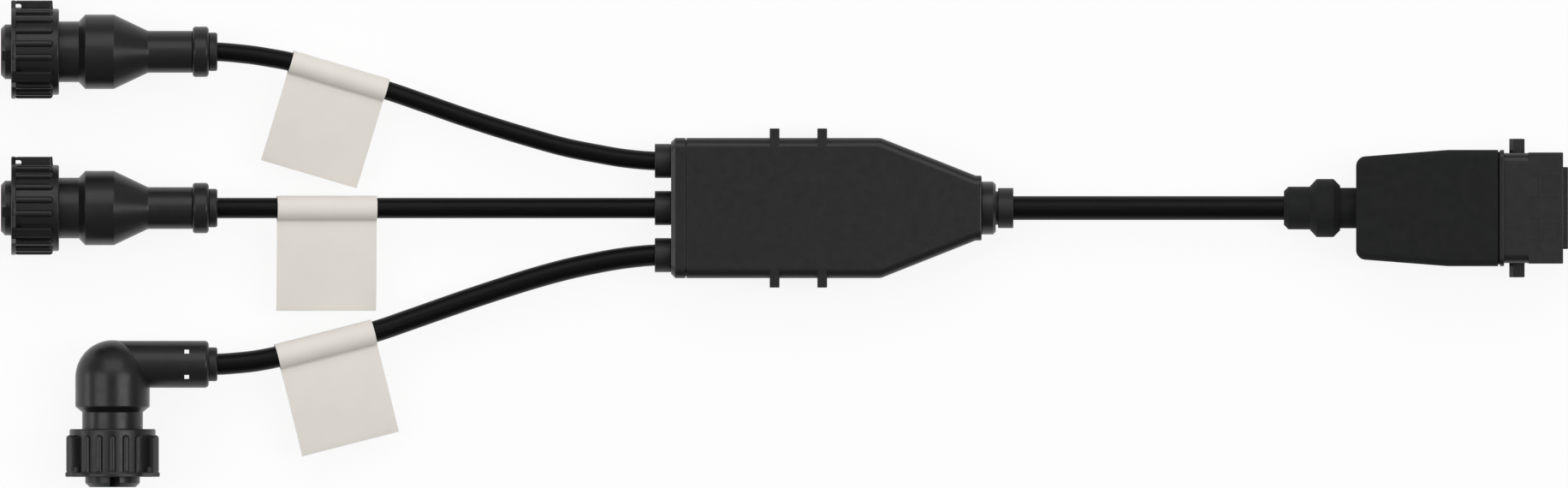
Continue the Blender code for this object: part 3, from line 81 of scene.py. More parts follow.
# Most of a side that a fillet takes, fillets that many edges share, clearance between pieces, and
# how far a cut reaches past a piece
FILLET_SHARE = 0.49
HAIR = 0.0001
FINE = 0.0002
EDGE = 0.0003
BLUNT = 0.0004
SOFT = 0.0005
ROUND = 0.0008
FIT = 0.0003
CUT = 0.002

# Free part of each cable in plan, from left to right
ROUTES = {
    "upper": [
        (-0.2027, 0.0538), (-0.1966, 0.0529), (-0.18765, 0.0512), (-0.1710, 0.04632), (-0.15435, 0.04134),
        (-0.1396, 0.0363), (-0.1276, 0.0321), (-0.1156, 0.0282), (-0.1036, 0.0246), (-0.0916, 0.0213),
        (-0.0796, 0.0189), (-0.0706, 0.0174),
    ],
    "middle": [
        (-0.2026, 0.0), (-0.1922, 0.0), (-0.1751, 0.0), (-0.1582, 0.0), (-0.1360, 0.0),
        (-0.1130, 0.0), (-0.0910, 0.0), (-0.0730, 0.0),
    ],
    "lower": [
        (-0.2056, -0.0542), (-0.1996, -0.0535), (-0.19245, -0.0521), (-0.1755, -0.04775),
        (-0.15855, -0.0434), (-0.1456, -0.0390), (-0.1276, -0.0327), (-0.1156, -0.0287),
        (-0.1036, -0.0249), (-0.0916, -0.0216), (-0.0796, -0.0190), (-0.0706, -0.0175),
    ],
    "trunk": [(0.0820, 0.0), (0.0980, 0.0), (0.1130, 0.0), (0.1280, 0.0), (0.1440, 0.0)],
}
CABLE_DIAMETER = {"upper": 0.0066, "middle": 0.0072, "lower": 0.0075, "trunk": 0.0084}
CONNECTOR_OF = {"upper": "upper", "middle": "middle", "lower": "elbow"}
BRANCH_EXIT_X = -0.21345
BRANCH_SAG = 0.0020
TRUNK_SAG = 0.0012
TRUNK_LEAD_IN = 0.0290
CABLE_STEP = 0.0020
CABLE_ROUNDNESS = 14

# Flag labels, each at the route point nearest to its X
LABEL_X = {"upper": -0.1710, "middle": -0.1751, "lower": -0.1755}
LABEL_FILM = 0.00022
LABEL_PLY_GAP = 0.00003
LABEL_SLACK = 0.0005
LABEL_REACH = 0.0360
LABEL_WIDTH = 0.0350
LABEL_THROAT = 0.0012
LABEL_DROOP = 0.0030
LABEL_WRAP_STEPS = 40
LABEL_THROAT_STEPS = 6
LABEL_TAIL_STEPS = 16
LABEL_ROWS = 14

# Contact inserts: stations from the tip, and radii. A key is its turn in degrees and its depth
# at both sides of the slot.
INSERT_CHAMFER = 0.0015
INSERT_SHOULDER = 0.0152
INSERT_REAR = 0.0240
INSERT_SPIGOT = 0.0084
KEY_WIDTH = 0.00345
KEY_LENGTH = 0.0060
STRAIGHT_KEY = (-9, 0.0012, 0.0012)
ELBOW_KEY = (-5, 0.0012, 0.0042)
CONTACT_CIRCLE = 0.0046
CONTACT_RADIUS = 0.0010
CONTACT_HOLE = 0.0013
CONTACT_SINK = 0.0005
CONTACT_RECESS = 0.0012
CONTACT_SOCKET = 0.0006
CONTACT_REAR = 0.0270
SOCKET_END = 0.0080
CRIMP_STATIONS = (0.0205, 0.0212, 0.0250, 0.0257)
CRIMP_DEPTH = 0.0002
CORE_CIRCLE = 0.0016
CORE_RADIUS = 0.0007
CORE_STEP = 0.0015
CORE_START = 0.0265
CORE_BEND = 0.0300
CORE_BEND_END = 0.0440
CORE_END = 0.0513
FACE_SEAL_INNER = 0.0099
FACE_SEAL_OUTER = 0.0123
FACE_SEAL_FRONT = 0.0134
FACE_SEAL_ROUND = 0.0006

# Coupling rings: stations from the tip of the insert, and radii. Angles are in degrees, spreads
# and reaches in radians.
RING_FLANGE = 0.01645
RING_FLANGE_REAR = 0.0052
FLANGE_REAR_EDGE = 0.00015
FLANGE_ROOT_GAP = 0.00003
FLANGE_ROOT_STEP = 0.00025
RING_BASE = 0.0151
DRUM_STATIONS = (0.0058, 0.0085, 0.0115, 0.0145)
RIB_ANGLES = [0, 18, -18, 36, -36] + [80 + 200 * k / 11 for k in range(12)]
RIB_HEIGHT = 0.0013
RIB_HALF_WIDTH = 0.0012
RIB_ROUNDNESS = 0.88
RIB_STEPS = 10
RIB_ROUND = 0.0171
RIB_REAR = 0.0183
RIB_END_SHARES = (0.2, 0.4, 0.6, 0.75, 0.87, 0.95, 0.985, 1.0)
RIB_TAIL = 0.0004
GRIP_REACH = 0.3
FIN_ANGLES = [58.5, -58.5]
FIN_HEIGHT = 0.00287
FIN_HALF_WIDTH = 0.0017
WIRE_HOLE = [(0.0052, 0.0153), (0.00715, 0.0153), (0.00715, 0.0164), (0.00675, 0.01682), (0.0052, 0.01682)]
EAR_FACE = 0.0180
EAR_HALF_WIDTH = 0.0023
EAR_SPREAD = radians(19.7)
LEAST_SPREAD = 0.0015
CLEAR_SPREAD = 0.02
THREAD_BORE = 0.0132
THREAD_DEPTH = 0.00045
THREAD_PITCH = 0.0022
THREAD_FRONT = 0.0044
THREAD_REAR = 0.0137
THREAD_ROWS = 34
THREAD_RUN_OUT = 8
MOUTH_CHAMFER = 0.0005
LIP_BORE = 0.01095
LIP_CORNER = 0.0006
STRAIGHT_RING_TURN = 29
ELBOW_RING_TURN = 0

# Backshells, nuts and cable seals: stations from the tip of the insert, and radii
COLLAR_FRONT = 0.0155
COLLAR_REAR = 0.0180
COLLAR_OUTER = 0.0123
NECK_RADIUS = 0.01065
NECK_BORE = 0.0087
NECK_REAR = 0.0273
BODY_RADIUS = 0.01305
BODY_CAVITY = 0.01105
BODY_FRONT = 0.0296
BODY_REAR = 0.0396
CONE_REAR = 0.0516
CONE_FILLET = 0.0020
CAVITY_FILLET = 0.0010
SLEEVE_RADIUS = 0.00735
SLEEVE_BORE = 0.0053
SLEEVE_REAR = 0.0672
SPIGOT_RADIUS = 0.0064
SPIGOT_REAR = 0.0702
NUT_BORE = 0.0067
NUT_END_WALL = 0.0021
NUT_ROUND = 0.0012
SEAL_FLANGE = 0.0030
ELBOW_NECK_REAR = 0.02625
ELBOW_BODY_FRONT = 0.02825
ELBOW_SEAL_RADIUS = 0.00594
ELBOW_CORE_BEND = 0.0370
ELBOW_CORE_SHARES = (0.5, 0.7)
ELBOW_CORE_SHIFT = 0.0005
ELBOW_CORE_TURNED = 0.0080
DOME_STATION = 0.03845
DOME_STEPS = 20
ARM_STATION = 0.04305
ARM_RADIUS = 0.00825
ARM_BORE = 0.00615
ARM_BORE_START = 0.0020
ARM_ROUND = 0.0014
WINDOW_SIZE = 0.0016
WINDOW_OFFSET = 0.0043
WINDOW_REACH = 0.0260
WINDOW_DEPTH = 0.02

# Splitter
BOX_AXIS_Z = 0.0120
BOX_HALF_WIDTH = 0.0246
BOX_HEIGHT = 0.0240
BOX_TOP_FILLET = 0.0036
BOX_BASE_FILLET = 0.0010
BOX_WALL = 0.0025
POCKET_TOP_FILLET = 0.0011
POCKET_END_X = 0.04805
TAPER_X = 0.01905
TAPER_END_X = 0.05235
TAPER_HALF_WIDTH = 0.0114
TAPER_ROUND = 0.0050
END_PLATE_CHAMFER = 0.0015
END_PLATE_GROOVE = 0.0003
END_PLATE_GROOVE_DEPTH = 0.0006
TIE_RIB_X = (-0.01815, -0.00145)
TIE_RIB_WIDTH = 0.00345
TIE_RIB_INNER = 0.0210
TIE_RIB_OUTER = 0.0279
TIE_RIB_BASE = 0.0010
TIE_RIB_TOP = 0.02395
TIE_RIB_EDGE = 0.00025
GROMMET_RADIUS = 0.0050
GROMMET_FLANGE = 0.0060
OUTLET_RADIUS = 0.0093
OUTLET_BORE = 0.0062
OUTLET_SPIGOT = 0.0078
OUTLET_CHAMFER = 0.0010
TRUNK_GROMMET_RADIUS = 0.0059
TRUNK_GROMMET_FLANGE = 0.00705
TRUNK_GROMMET_LENGTH = 0.0054

# Trunk plug; a half is half the width and half the height of a section
PLUG_AXIS_Z = 0.0135
PLUG_HALF = (0.0204, 0.0135)
RELIEF_RADIUS = 0.0075
RELIEF_CHAMFER = 0.0016
RELIEF_RING_X = 0.16935
RELIEF_RING_SLOPE = 0.0025
RELIEF_RING_END_X = 0.17775
RELIEF_RING_RADIUS = 0.0102
RELIEF_NECK_X = 0.18010
RELIEF_SHOULDER_RADIUS = 0.00785
RELIEF_NECK_RADIUS = 0.0071
RELIEF_SPIGOT = 0.0059
RELIEF_BORE = 0.0045
HOOD_REAR_HALF = (0.0179, 0.0128)
HOOD_CORNER = 0.0031
HOOD_CORNER_STEPS = 8
HOOD_REAR_RIM = 0.0005
HOOD_SLOPE_END_X = 0.21790
HOOD_FILLET = 0.0028
HOOD_WALL = 0.0025
HOOD_END_WALL = 0.0032
GASKET_WIDTH = 0.0009
GASKET_BEAD_INSET = (0.0006, 0.0020)
FRAME_FLANGE_X = 0.23605
FRAME_X = 0.23755
FRAME_BLOCK_X = 0.24625
FRAME_BLOCK_EDGE = 0.00025
FRAME_HALF = (0.0195, 0.0126)
FRAME_STEP = 0.0002
FRAME_FILLET = 0.0033
FRAME_OPENING = (0.0147, 0.0088)
INSERT_FLANGE_STEP = 0.0016
INSERT_FLANGE_LENGTH = 0.0027
NOSE_HALF = (0.0144, 0.0085)
NOSE_FILLET = 0.0006
PLUG_CONTACT_SPOTS = [(0.0055, 0.0035), (0.0055, -0.0035), (-0.0055, -0.0035), (-0.0055, 0.0035)]
PLUG_CONTACT_RADIUS = 0.0016
PLUG_CONTACT_REAR = 0.22705
PLUG_CONTACT_SINK = 0.0006
PLUG_SOCKET_SHARE = 0.6
PLUG_SOCKET_DEPTH = 0.0070
PLUG_CORE_RADIUS = 0.0009
PLUG_CORE_CIRCLE = 0.0020
PLUG_CORE_STEP = 0.002
PLUG_CORE_OVERLAP = 0.0005
PLUG_CORE_BEND = 0.25
PEG_HALF_WIDTH = 0.0027
PEG_CHAMFER = 0.0014
PEG_SPIGOT = 0.0018
PEG_SPIGOT_LENGTH = 0.0030
PEG_X = 0.24205
PEG_STEPS = 3
GROOVE_WIDTH = 0.00024
GROOVE_DEPTH = 0.00022
GROOVE_LANES = (0.01125, 0.0055, 0.0037)
GROOVE_STOPS = (0.0002, 0.0032, 0.0048, 0.0103)

# Stage and light: a softbox is its tilt from the zenith in degrees, the plan direction it stands
# in, its width, height and radiance
SOFTBOXES = {
    "upper_softbox": (38, (0, 1), 4.2, 2.9, 1.5),
    "left_softbox": (39, (-1, 0), 1.3, 2.6, 2.9),
    "right_softbox": (31, (1, 0), 1.3, 2.6, 4.4),
}
LAMP_DISTANCE = 4.0
FLOOR_HALF_SIZE = 12.0
FLOOR_GAP = 0.0002
FLOOR_WHITE = 0.95
FLOOR_ROUGHNESS = 0.9
FLOOR_GLOW = 0.88
WORLD_LEVEL = 0.31
WORLD_SLOPE = 0.13
WORLD_SIDE = 4.0
WORLD_SIDE_REACH = (-0.955, -0.995)


# Surfaces

NOISE_RANGE = {"From Min": 0.3, "From Max": 0.7}
COARSE_GRAIN = 8
COARSE_DEPTH = 2
BLUE_CAST = 1.01
RUB_SHARE = 4


def shader_node(tree, kind, inputs, **settings):
    """Outputs of a new shader node, whose inputs are values or the outputs of other nodes."""
    made = tree.nodes.new(kind)
    for name, value in settings.items():
        setattr(made, name, value)
    for socket, value in inputs.items():
        if isinstance(value, bpy.types.NodeSocket):
            tree.links.new(value, made.inputs[socket])
        else:
            made.inputs[socket].default_value = value
    return made.outputs


def new_material(name):
    material = bpy.data.materials.new(name)
    material.use_nodes = True
    return material, material.node_tree, material.node_tree.nodes["Principled BSDF"]


def noise(tree, size, stretch, detail=3.0):
    """Noise whose features are about size metres across, drawn out by stretch along each axis."""
    place = shader_node(tree, "ShaderNodeTexCoord", {})["Object"]
    scale = [1 / (size * s) for s in stretch]
    vector = shader_node(tree, "ShaderNodeMapping", {"Scale": scale, "Vector": place})["Vector"]
    inputs = {"Scale": 1.0, "Detail": detail, "Vector": vector}
    return shader_node(tree, "ShaderNodeTexNoise", inputs)["Fac"]


def ranged(tree, value, low, high):
    """Noise spread from low to high over its usual range."""
    inputs = {"Value": value, "To Min": low, "To Max": high, **NOISE_RANGE}
    return shader_node(tree, "ShaderNodeMapRange", inputs)["Result"]


def bumped(tree, height, depth, **below):
    inputs = {"Strength": 1.0, "Distance": depth, "Height": height, **below}
    return shader_node(tree, "ShaderNodeBump", inputs)["Normal"]


def surface(name, colours, roughness, patch, grain, depth, stretch=(1, 1, 1), specular=0.5, metallic=0.0):
    """Material that drifts between two colours and two roughnesses, with a fine moulded grain."""
    material, tree, shader = new_material(name)
    drift = ranged(tree, noise(tree, patch, stretch), 0, 1)
    ends = {"A": (*colours[0], 1), "B": (*colours[1], 1), "Factor": drift}
    rub = noise(tree, patch / RUB_SHARE, stretch)
    coarse = bumped(tree, noise(tree, grain * COARSE_GRAIN, stretch, detail=1.0), depth * COARSE_DEPTH)
    fine = bumped(tree, noise(tree, grain, stretch, detail=2.0), depth, Normal=coarse)
    linked = {
        "Base Color": shader_node(tree, "ShaderNodeMix", ends, data_type="RGBA")["Result"],
        "Roughness": ranged(tree, rub, *roughness),
        "Normal": fine,
    }
    for socket, value in linked.items():
        tree.links.new(value, shader.inputs[socket])
    shader.inputs["Specular IOR Level"].default_value = specular
    shader.inputs["Metallic"].default_value = metallic
    return material


def grey(level):
    return (level, level, level * BLUE_CAST)


LOOKS = {
    "shell": surface(
        "moulded_shell", (grey(0.0094), grey(0.0108)), roughness=(0.29, 0.35),
        patch=0.012, grain=0.00025, depth=0.000007, specular=0.35),
    "insert": surface(
        "moulded_insert", (grey(0.0115), grey(0.0130)), roughness=(0.30, 0.36),
        patch=0.008, grain=0.00022, depth=0.000006, specular=0.35),
    "hood": surface(
        "grained_hood", (grey(0.0078), (0.0072, 0.0079, 0.0082)), roughness=(0.72, 0.82),
        patch=0.015, grain=0.00030, depth=0.000008, specular=0.25),
    "rubber": surface(
        "moulded_rubber", (grey(0.0086), grey(0.0102)), roughness=(0.40, 0.48),
        patch=0.006, grain=0.00020, depth=0.000007, specular=0.35),
    "cable": surface(
        "extruded_jacket", (grey(0.0022), grey(0.0028)), roughness=(0.30, 0.38),
        patch=0.004, grain=0.00030, depth=0.000004, stretch=(12, 1, 1), specular=0.12),
    "label": surface(
        "label_film", ((0.770, 0.730, 0.675), (0.790, 0.750, 0.695)), roughness=(0.48, 0.60),
        patch=0.010, grain=0.00035, depth=0.000004, specular=0.3),
    "contact": surface(
        "plated_contact", ((0.60, 0.47, 0.24), (0.70, 0.57, 0.32)), roughness=(0.22, 0.34),
        patch=0.0015, grain=0.00012, depth=0.000002, metallic=1.0),
    "board": surface(
        "board_laminate", ((0.020, 0.110, 0.045), (0.030, 0.140, 0.060)), roughness=(0.35, 0.5),
        patch=0.006, grain=0.0004, depth=0.000004),
}


# Mesh building

def circle(sides):
    return [2 * pi * k / sides for k in range(sides)]


def quarter(steps):
    return [pi / 2 * k / steps for k in range(steps + 1)]


def rounded(corners, loop=True, steps=FILLET_STEPS):
    """Outline through (a, b, fillet) corners, with an arc at each corner whose fillet isn't 0."""
    outline = []
    for k, (a, b, fillet) in enumerate(corners):
        here = Vector((a, b))
        if fillet == 0 or (not loop and k in (0, len(corners) - 1)):
            outline.append((a, b))
            continue
        back = Vector(corners[k - 1][:2]) - here
        ahead = Vector(corners[(k + 1) % len(corners)][:2]) - here
        half = back.angle(ahead) / 2
        reach = min(fillet / tan(half), back.length * FILLET_SHARE, ahead.length * FILLET_SHARE)
        radius = reach * tan(half)
        centre = here + (back.normalized() + ahead.normalized()).normalized() * radius / sin(half)
        start = here + back.normalized() * reach - centre
        end = here + ahead.normalized() * reach - centre
        turn = copysign(pi - 2 * half, start.x * end.y - start.y * end.x)
        for j in range(steps + 1):
            arm = Matrix.Rotation(turn * j / steps, 2) @ start
            outline.append(tuple(centre + arm))
    return outline


def section(half_width, bottom, top, base_fillet, top_fillet):
    return rounded([
        (-half_width, bottom, base_fillet), (half_width, bottom, base_fillet),
        (half_width, top, top_fillet), (-half_width, top, top_fillet),
    ], steps=SECTION_STEPS)


def edge_steps(edge):
    """(distance from the end, inset) along a rounded end edge, from the end inwards."""
    return [(edge * (1 - cos(a)), edge * (1 - sin(a))) for a in quarter(EDGE_STEPS)]


def edge_from(x, edge, shape, *sizes):
    """Sections of a rounded edge that begins at x."""
    return [(x + depth, shape(*sizes, inset)) for depth, inset in edge_steps(edge)]


def edge_to(x, edge, shape, *sizes):
    """Sections of a rounded edge that ends at x."""
    return [(x - depth, shape(*sizes, inset)) for depth, inset in reversed(edge_steps(edge))]


def moved(bm, matrix):
    bm.transform(matrix)
    return bm


def revolved(rows, angles, loop):
    """Surface about X: each row is one point of the profile, as (station, radius) at every angle."""
    bm = bmesh.new()
    rings = []
    for row in rows:
        if max(radius for _, radius in row) == 0:
            rings.append([bm.verts.new((row[0][0], 0, 0))] * len(angles))
            continue
        points = [(x, radius * sin(a), radius * cos(a)) for (x, radius), a in zip(row, angles)]
        rings.append([bm.verts.new(point) for point in points])
    following = rings[1:] + (rings[:1] if loop else [])
    for near, far in zip(rings, following):
        for k in range(len(angles)):
            bm.faces.new(list(dict.fromkeys((near[k], near[k - 1], far[k - 1], far[k]))))
    return bm


def turned(corners, sides=TURN_SIDES, matrix=Matrix()):
    """Solid of revolution about X from (station, radius, fillet) corners."""
    loop = corners[0][1] > 0
    rows = [[point] * sides for point in rounded(corners, loop)]
    return moved(revolved(rows, circle(sides), loop), matrix)


def rod(start, end, radius, matrix, sides=TURN_SIDES):
    """Plain round solid about X."""
    return turned([(start, 0, 0), (start, radius, 0), (end, radius, 0), (end, 0, 0)], sides, matrix)


def skinned(loops):
    """Closed solid through loops of points of equal count."""
    bm = bmesh.new()
    rings = [[bm.verts.new(point) for point in loop] for loop in loops]
    for low, high in zip(rings, rings[1:]):
        for k in range(len(low)):
            bm.faces.new((low[k], low[k - 1], high[k - 1], high[k]))
    bm.faces.new(rings[0])
    bm.faces.new(rings[-1][::-1])
    return bm


def lofted(sections):
    """Closed solid through (x, [(y, z), ...]) sections of equal point count."""
    return skinned([[(x, y, z) for y, z in outline] for x, outline in sections])


def swept(points, radius):
    """Closed round rod along points."""
    turns = circle(CORE_SIDES)[::-1]
    loops = []
    for k, point in enumerate(points):
        along = points[min(k + 1, len(points) - 1)] - points[max(k - 1, 0)]
        turn = along.to_track_quat("Z", "Y")
        arms = [Vector((radius * cos(a), radius * sin(a), 0)) for a in turns]
        loops.append([point + turn @ arm for arm in arms])
    return skinned(loops)


def block(low, high, edge=0.0):
    """Box between two corners, with its edges rounded."""
    bm = bmesh.new()
    bmesh.ops.create_cube(bm, size=1.0)
    bmesh.ops.scale(bm, vec=Vector(high) - Vector(low), verts=bm.verts)
    bmesh.ops.translate(bm, vec=(Vector(low) + Vector(high)) / 2, verts=bm.verts)
    if edge:
        bmesh.ops.bevel(bm, geom=bm.edges[:], offset=edge, segments=BEVEL_STEPS, profile=0.5,
                        affect="EDGES")
    return bm


def joined(*parts):
    """One bmesh that holds several."""
    whole = bmesh.new()
    for bm in parts:
        mesh = bpy.data.meshes.new("part")
        bm.to_mesh(mesh)
        bm.free()
        whole.from_mesh(mesh)
        bpy.data.meshes.remove(mesh)
    return whole


def shaded(mesh):
    mesh.shade_smooth()
    mesh.set_sharp_from_angle(angle=SHARP_ANGLE)


def as_object(name, bm, look=None):
    bmesh.ops.recalc_face_normals(bm, faces=bm.faces)
    mesh = bpy.data.meshes.new(name)
    bm.to_mesh(mesh)
    bm.free()
    shaded(mesh)
    item = bpy.data.objects.new(name, mesh)
    bpy.context.scene.collection.objects.link(item)
    if look:
        mesh.materials.append(LOOKS[look])
    return item


def shaped(item, operation, tools):
    """Apply each tool to item with a Boolean, and remove it."""
    for bm in tools:
        tool = as_object("tool", bm)
        boolean = item.modifiers.new("shape", "BOOLEAN")
        boolean.operation = operation
        boolean.object = tool
        graph = bpy.context.evaluated_depsgraph_get()
        before = item.data
        item.data = bpy.data.meshes.new_from_object(item.evaluated_get(graph))
        item.modifiers.clear()
        item.data.name = item.name
        bpy.data.meshes.remove(before)
        bpy.data.objects.remove(tool)
    shaded(item.data)


def stands_for(item, *nodes):
    """The piece rides on the body of the CAD nodes that it replaces."""
    if item.type == "MESH":
        item.modifiers.new("normals", "WEIGHTED_NORMAL").keep_sharp = True
    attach(item, BODY_OF[nodes[0]])
    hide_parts(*nodes)
    return item


def dressed(node, bm, look, added=(), cut=(), place=Matrix()):
    """Piece that stands for a node: a solid with tools added and cut away, moved to its place."""
    item = as_object(node + "_detail", bm, look)
    shaped(item, "UNION", added)
    shaped(item, "DIFFERENCE", cut)
    item.data.transform(place)
    return stands_for(item, node)


def middle(node):
    low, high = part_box(node)
    return (low + high) / 2


# Cables and labels

def smooth_path(points, step):
    """Points no further than step apart on a smooth curve through the given points."""
    path = []
    padded = [2 * points[0] - points[1]] + points + [2 * points[-1] - points[-2]]
    for before, start, end, after in zip(padded, padded[1:], padded[2:], padded[3:]):
        span = (end - start).length
        lead_in = (end - before) * span / ((start - before).length + span)
        lead_out = (after - start) * span / ((after - end).length + span)
        count = max(1, ceil(span / step))
        for k in range(count):
            t = k / count
            near = (1 + 2 * t) * (1 - t) ** 2 * start + t * (1 - t) ** 2 * lead_in
            far = t * t * (3 - 2 * t) * end - t * t * (1 - t) * lead_out
            path.append(near + far)
    path.append(points[-1])
    return path


def hung(plan, start, end, sag):
    """Plan points lifted to a cable that eases from start to end and sags between them."""
    points = []
    for x, y in plan:
        t = min(1.0, max(0.0, (x - start.x) / (end.x - start.x)))
        z = start.z + (end.z - start.z) * t * t * (3 - 2 * t) - sag * sin(pi * t) ** 2
        points.append(Vector((x, y, z)))
    return points


def cable_points(side, source, leave_x, lead, target, sag):
    """Points of a cable that leaves source at leave_x, after the X values in lead, and ends past target."""
    leave = middle(source)
    leave.x = leave_x
    enter = middle(target)
    near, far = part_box(target)
    enter.x = near.x
    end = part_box(side + "_cable")[1].x
    plan = [(x, leave.y) for x in (*lead, leave_x)] + ROUTES[side]
    plan += [(x, enter.y) for x in (near.x, far.x, end)]
    return hung(plan, leave, enter, sag), leave


def cable(side, points):
    node = side + "_cable"
    diameter = CABLE_DIAMETER[side]
    path = smooth_path(points, CABLE_STEP)
    curve = bpy.data.curves.new(node + "_detail", "CURVE")
    curve.dimensions = "3D"
    curve.bevel_depth = diameter / 2
    curve.bevel_resolution = CABLE_ROUNDNESS
    curve.use_fill_caps = True
    curve.materials.append(LOOKS["cable"])
    spline = curve.splines.new("POLY")
    spline.points.add(len(path) - 1)
    spline.use_smooth = True
    for knot, point in zip(spline.points, path):
        knot.co = (*point, 1.0)
    item = bpy.data.objects.new(node + "_detail", curve)
    bpy.context.scene.collection.objects.link(item)
    stands_for(item, node)


def label_outline(radius):
    """Film's section as (reach, height): along the upper ply, round the cable and back below."""
    ply = LABEL_FILM / 2 + LABEL_PLY_GAP
    throat = LABEL_THROAT
    meet = acos((throat + ply) / (radius + throat))
    turn_in = pi / 2 - meet
    throat_x = (radius + throat) * cos(turn_in)
    tail = [LABEL_REACH + (throat_x - LABEL_REACH) * k / LABEL_TAIL_STEPS for k in range(LABEL_TAIL_STEPS)]
    upper = [(x, ply) for x in tail]
    for k in range(LABEL_THROAT_STEPS):
        a = -pi / 2 - (pi / 2 - turn_in) * k / LABEL_THROAT_STEPS
        upper.append((throat_x + throat * cos(a), throat + ply + throat * sin(a)))
    half_wrap = [turn_in + (pi - turn_in) * k / LABEL_WRAP_STEPS for k in range(LABEL_WRAP_STEPS)]
    upper += [(radius * cos(a), radius * sin(a)) for a in half_wrap]
    return upper + [(-radius, 0.0)] + [(x, -z) for x, z in reversed(upper)]


def flag_label(node, points, at, cable_radius):
    """Label across points[at], square to the cable there; its flag droops towards its end."""
    along = (points[at + 1] - points[at - 1]).normalized()
    side = along.cross(Vector((0, 0, 1))).normalized()
    up = side.cross(along)
    outline = label_outline(cable_radius + LABEL_SLACK + LABEL_FILM / 2)
    bm = bmesh.new()
    rows = []
    for k in range(LABEL_ROWS + 1):
        place = points[at] + along * LABEL_WIDTH * (k / LABEL_ROWS - 0.5)
        row = []
        for reach, height in outline:
            share = max(0.0, reach - cable_radius) / (LABEL_REACH - cable_radius)
            row.append(bm.verts.new(place + side * reach + up * (height - LABEL_DROOP * share ** 2)))
        rows.append(row)
    for near, far in zip(rows, rows[1:]):
        for k in range(len(outline) - 1):
            bm.faces.new((near[k], near[k + 1], far[k + 1], far[k]))
    item = as_object(node + "_detail", bm, "label")
    film = item.modifiers.new("film", "SOLIDIFY")
    film.thickness = LABEL_FILM
    film.offset = 0.0
    stands_for(item, node)
    return item


def cables_and_labels():
    for side, connector in CONNECTOR_OF.items():
        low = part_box(side + "_cable")[0].x
        points, leave = cable_points(
            side, connector + "_cable_seal", BRANCH_EXIT_X, (low, (low + BRANCH_EXIT_X) / 2),
            f"splitter_{side}_grommet", BRANCH_SAG)
        at = min(range(len(points)), key=lambda k: abs(points[k].x - LABEL_X[side]))
        label = flag_label(side + "_label", points, at, CABLE_DIAMETER[side] / 2)
        cable(side, points)
    source = "splitter_trunk_grommet"
    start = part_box(source)[1].x
    lead = (start - TRUNK_LEAD_IN,)
    points, leave = cable_points("trunk", source, start, lead, "plug_strain_relief", TRUNK_SAG)
    cable("trunk", points)


# Stage, light and camera

def softbox(name, tilt, towards, width, height, radiance):
    """Lamp at tilt degrees from the zenith, in the plan direction towards, facing the harness."""
    heading = Vector((*towards, 0)).normalized()
    angle = radians(tilt)
    away = heading * sin(angle) + Vector((0, 0, cos(angle)))
    lamp = bpy.data.lights.new(name, "AREA")
    lamp.shape = "RECTANGLE"
    lamp.size = width
    lamp.size_y = height
    lamp.energy = radiance * pi * width * height
    item = bpy.data.objects.new(name, lamp)
    item.location = away * LAMP_DISTANCE
    item.rotation_mode = "QUATERNION"
    item.rotation_quaternion = away.to_track_quat("Z", "Y")
    item.visible_camera = False
    bpy.context.scene.collection.objects.link(item)


def seen_directly(tree):
    """1 for camera, glossy and transmission rays, 0 for the light that falls on things."""
    path = shader_node(tree, "ShaderNodeLightPath", {})
    total = path["Is Camera Ray"]
    for ray in ("Is Glossy Ray", "Is Transmission Ray"):
        total = shader_node(tree, "ShaderNodeMath", {0: total, 1: path[ray]}, operation="MAXIMUM")[0]
    return total


def floor():
    material, tree, shader = new_material("white_floor")
    shader.inputs["Base Color"].default_value = (FLOOR_WHITE, FLOOR_WHITE, FLOOR_WHITE, 1)
    shader.inputs["Roughness"].default_value = FLOOR_ROUGHNESS
    shader.inputs["Specular IOR Level"].default_value = 0.0
    glow = shader_node(tree, "ShaderNodeEmission", {})[0]
    direct = {0: seen_directly(tree), 1: FLOOR_GLOW}
    share = shader_node(tree, "ShaderNodeMath", direct, operation="MULTIPLY")[0]
    mix = shader_node(tree, "ShaderNodeMixShader", {"Fac": share, 1: shader.outputs[0], 2: glow})[0]
    tree.links.new(mix, tree.nodes["Material Output"].inputs["Surface"])
    bm = bmesh.new()
    bmesh.ops.create_grid(bm, x_segments=1, y_segments=1, size=FLOOR_HALF_SIZE)
    item = as_object("floor", bm)
    item.location.z = -FLOOR_GAP
    item.data.materials.append(material)


def world():
    """White surroundings, brighter towards +Y and with a bright strip far to the left."""
    backdrop = bpy.data.worlds.new("studio")
    backdrop.use_nodes = True
    tree = backdrop.node_tree
    light = tree.nodes["Background"]
    place = shader_node(tree, "ShaderNodeTexCoord", {})["Generated"]
    split = shader_node(tree, "ShaderNodeSeparateXYZ", {"Vector": place})
    line = {0: split["Y"], 1: WORLD_SLOPE, 2: WORLD_LEVEL}
    slope = shader_node(tree, "ShaderNodeMath", line, operation="MULTIPLY_ADD")[0]
    near, far = WORLD_SIDE_REACH
    strip = {"Value": split["X"], "From Min": near, "From Max": far, "To Max": WORLD_SIDE}
    side = shader_node(tree, "ShaderNodeMapRange", strip, interpolation_type="SMOOTHSTEP")["Result"]
    total = shader_node(tree, "ShaderNodeMath", {0: slope, 1: side})[0]
    tree.links.new(total, light.inputs["Strength"])
    light.inputs["Color"].default_value = (1, 1, 1, 1)
    bpy.context.scene.world = backdrop


def camera():
    lens = bpy.data.cameras.new("camera")
    lens.type = "ORTHO"
    lens.ortho_scale = PHOTO_WIDTH * METRES_PER_PIXEL
    item = bpy.data.objects.new("camera", lens)
    item.location = (*VIEW_CENTRE, CAMERA_HEIGHT)
    bpy.context.scene.collection.objects.link(item)
    bpy.context.scene.camera = item


# Coupling rings

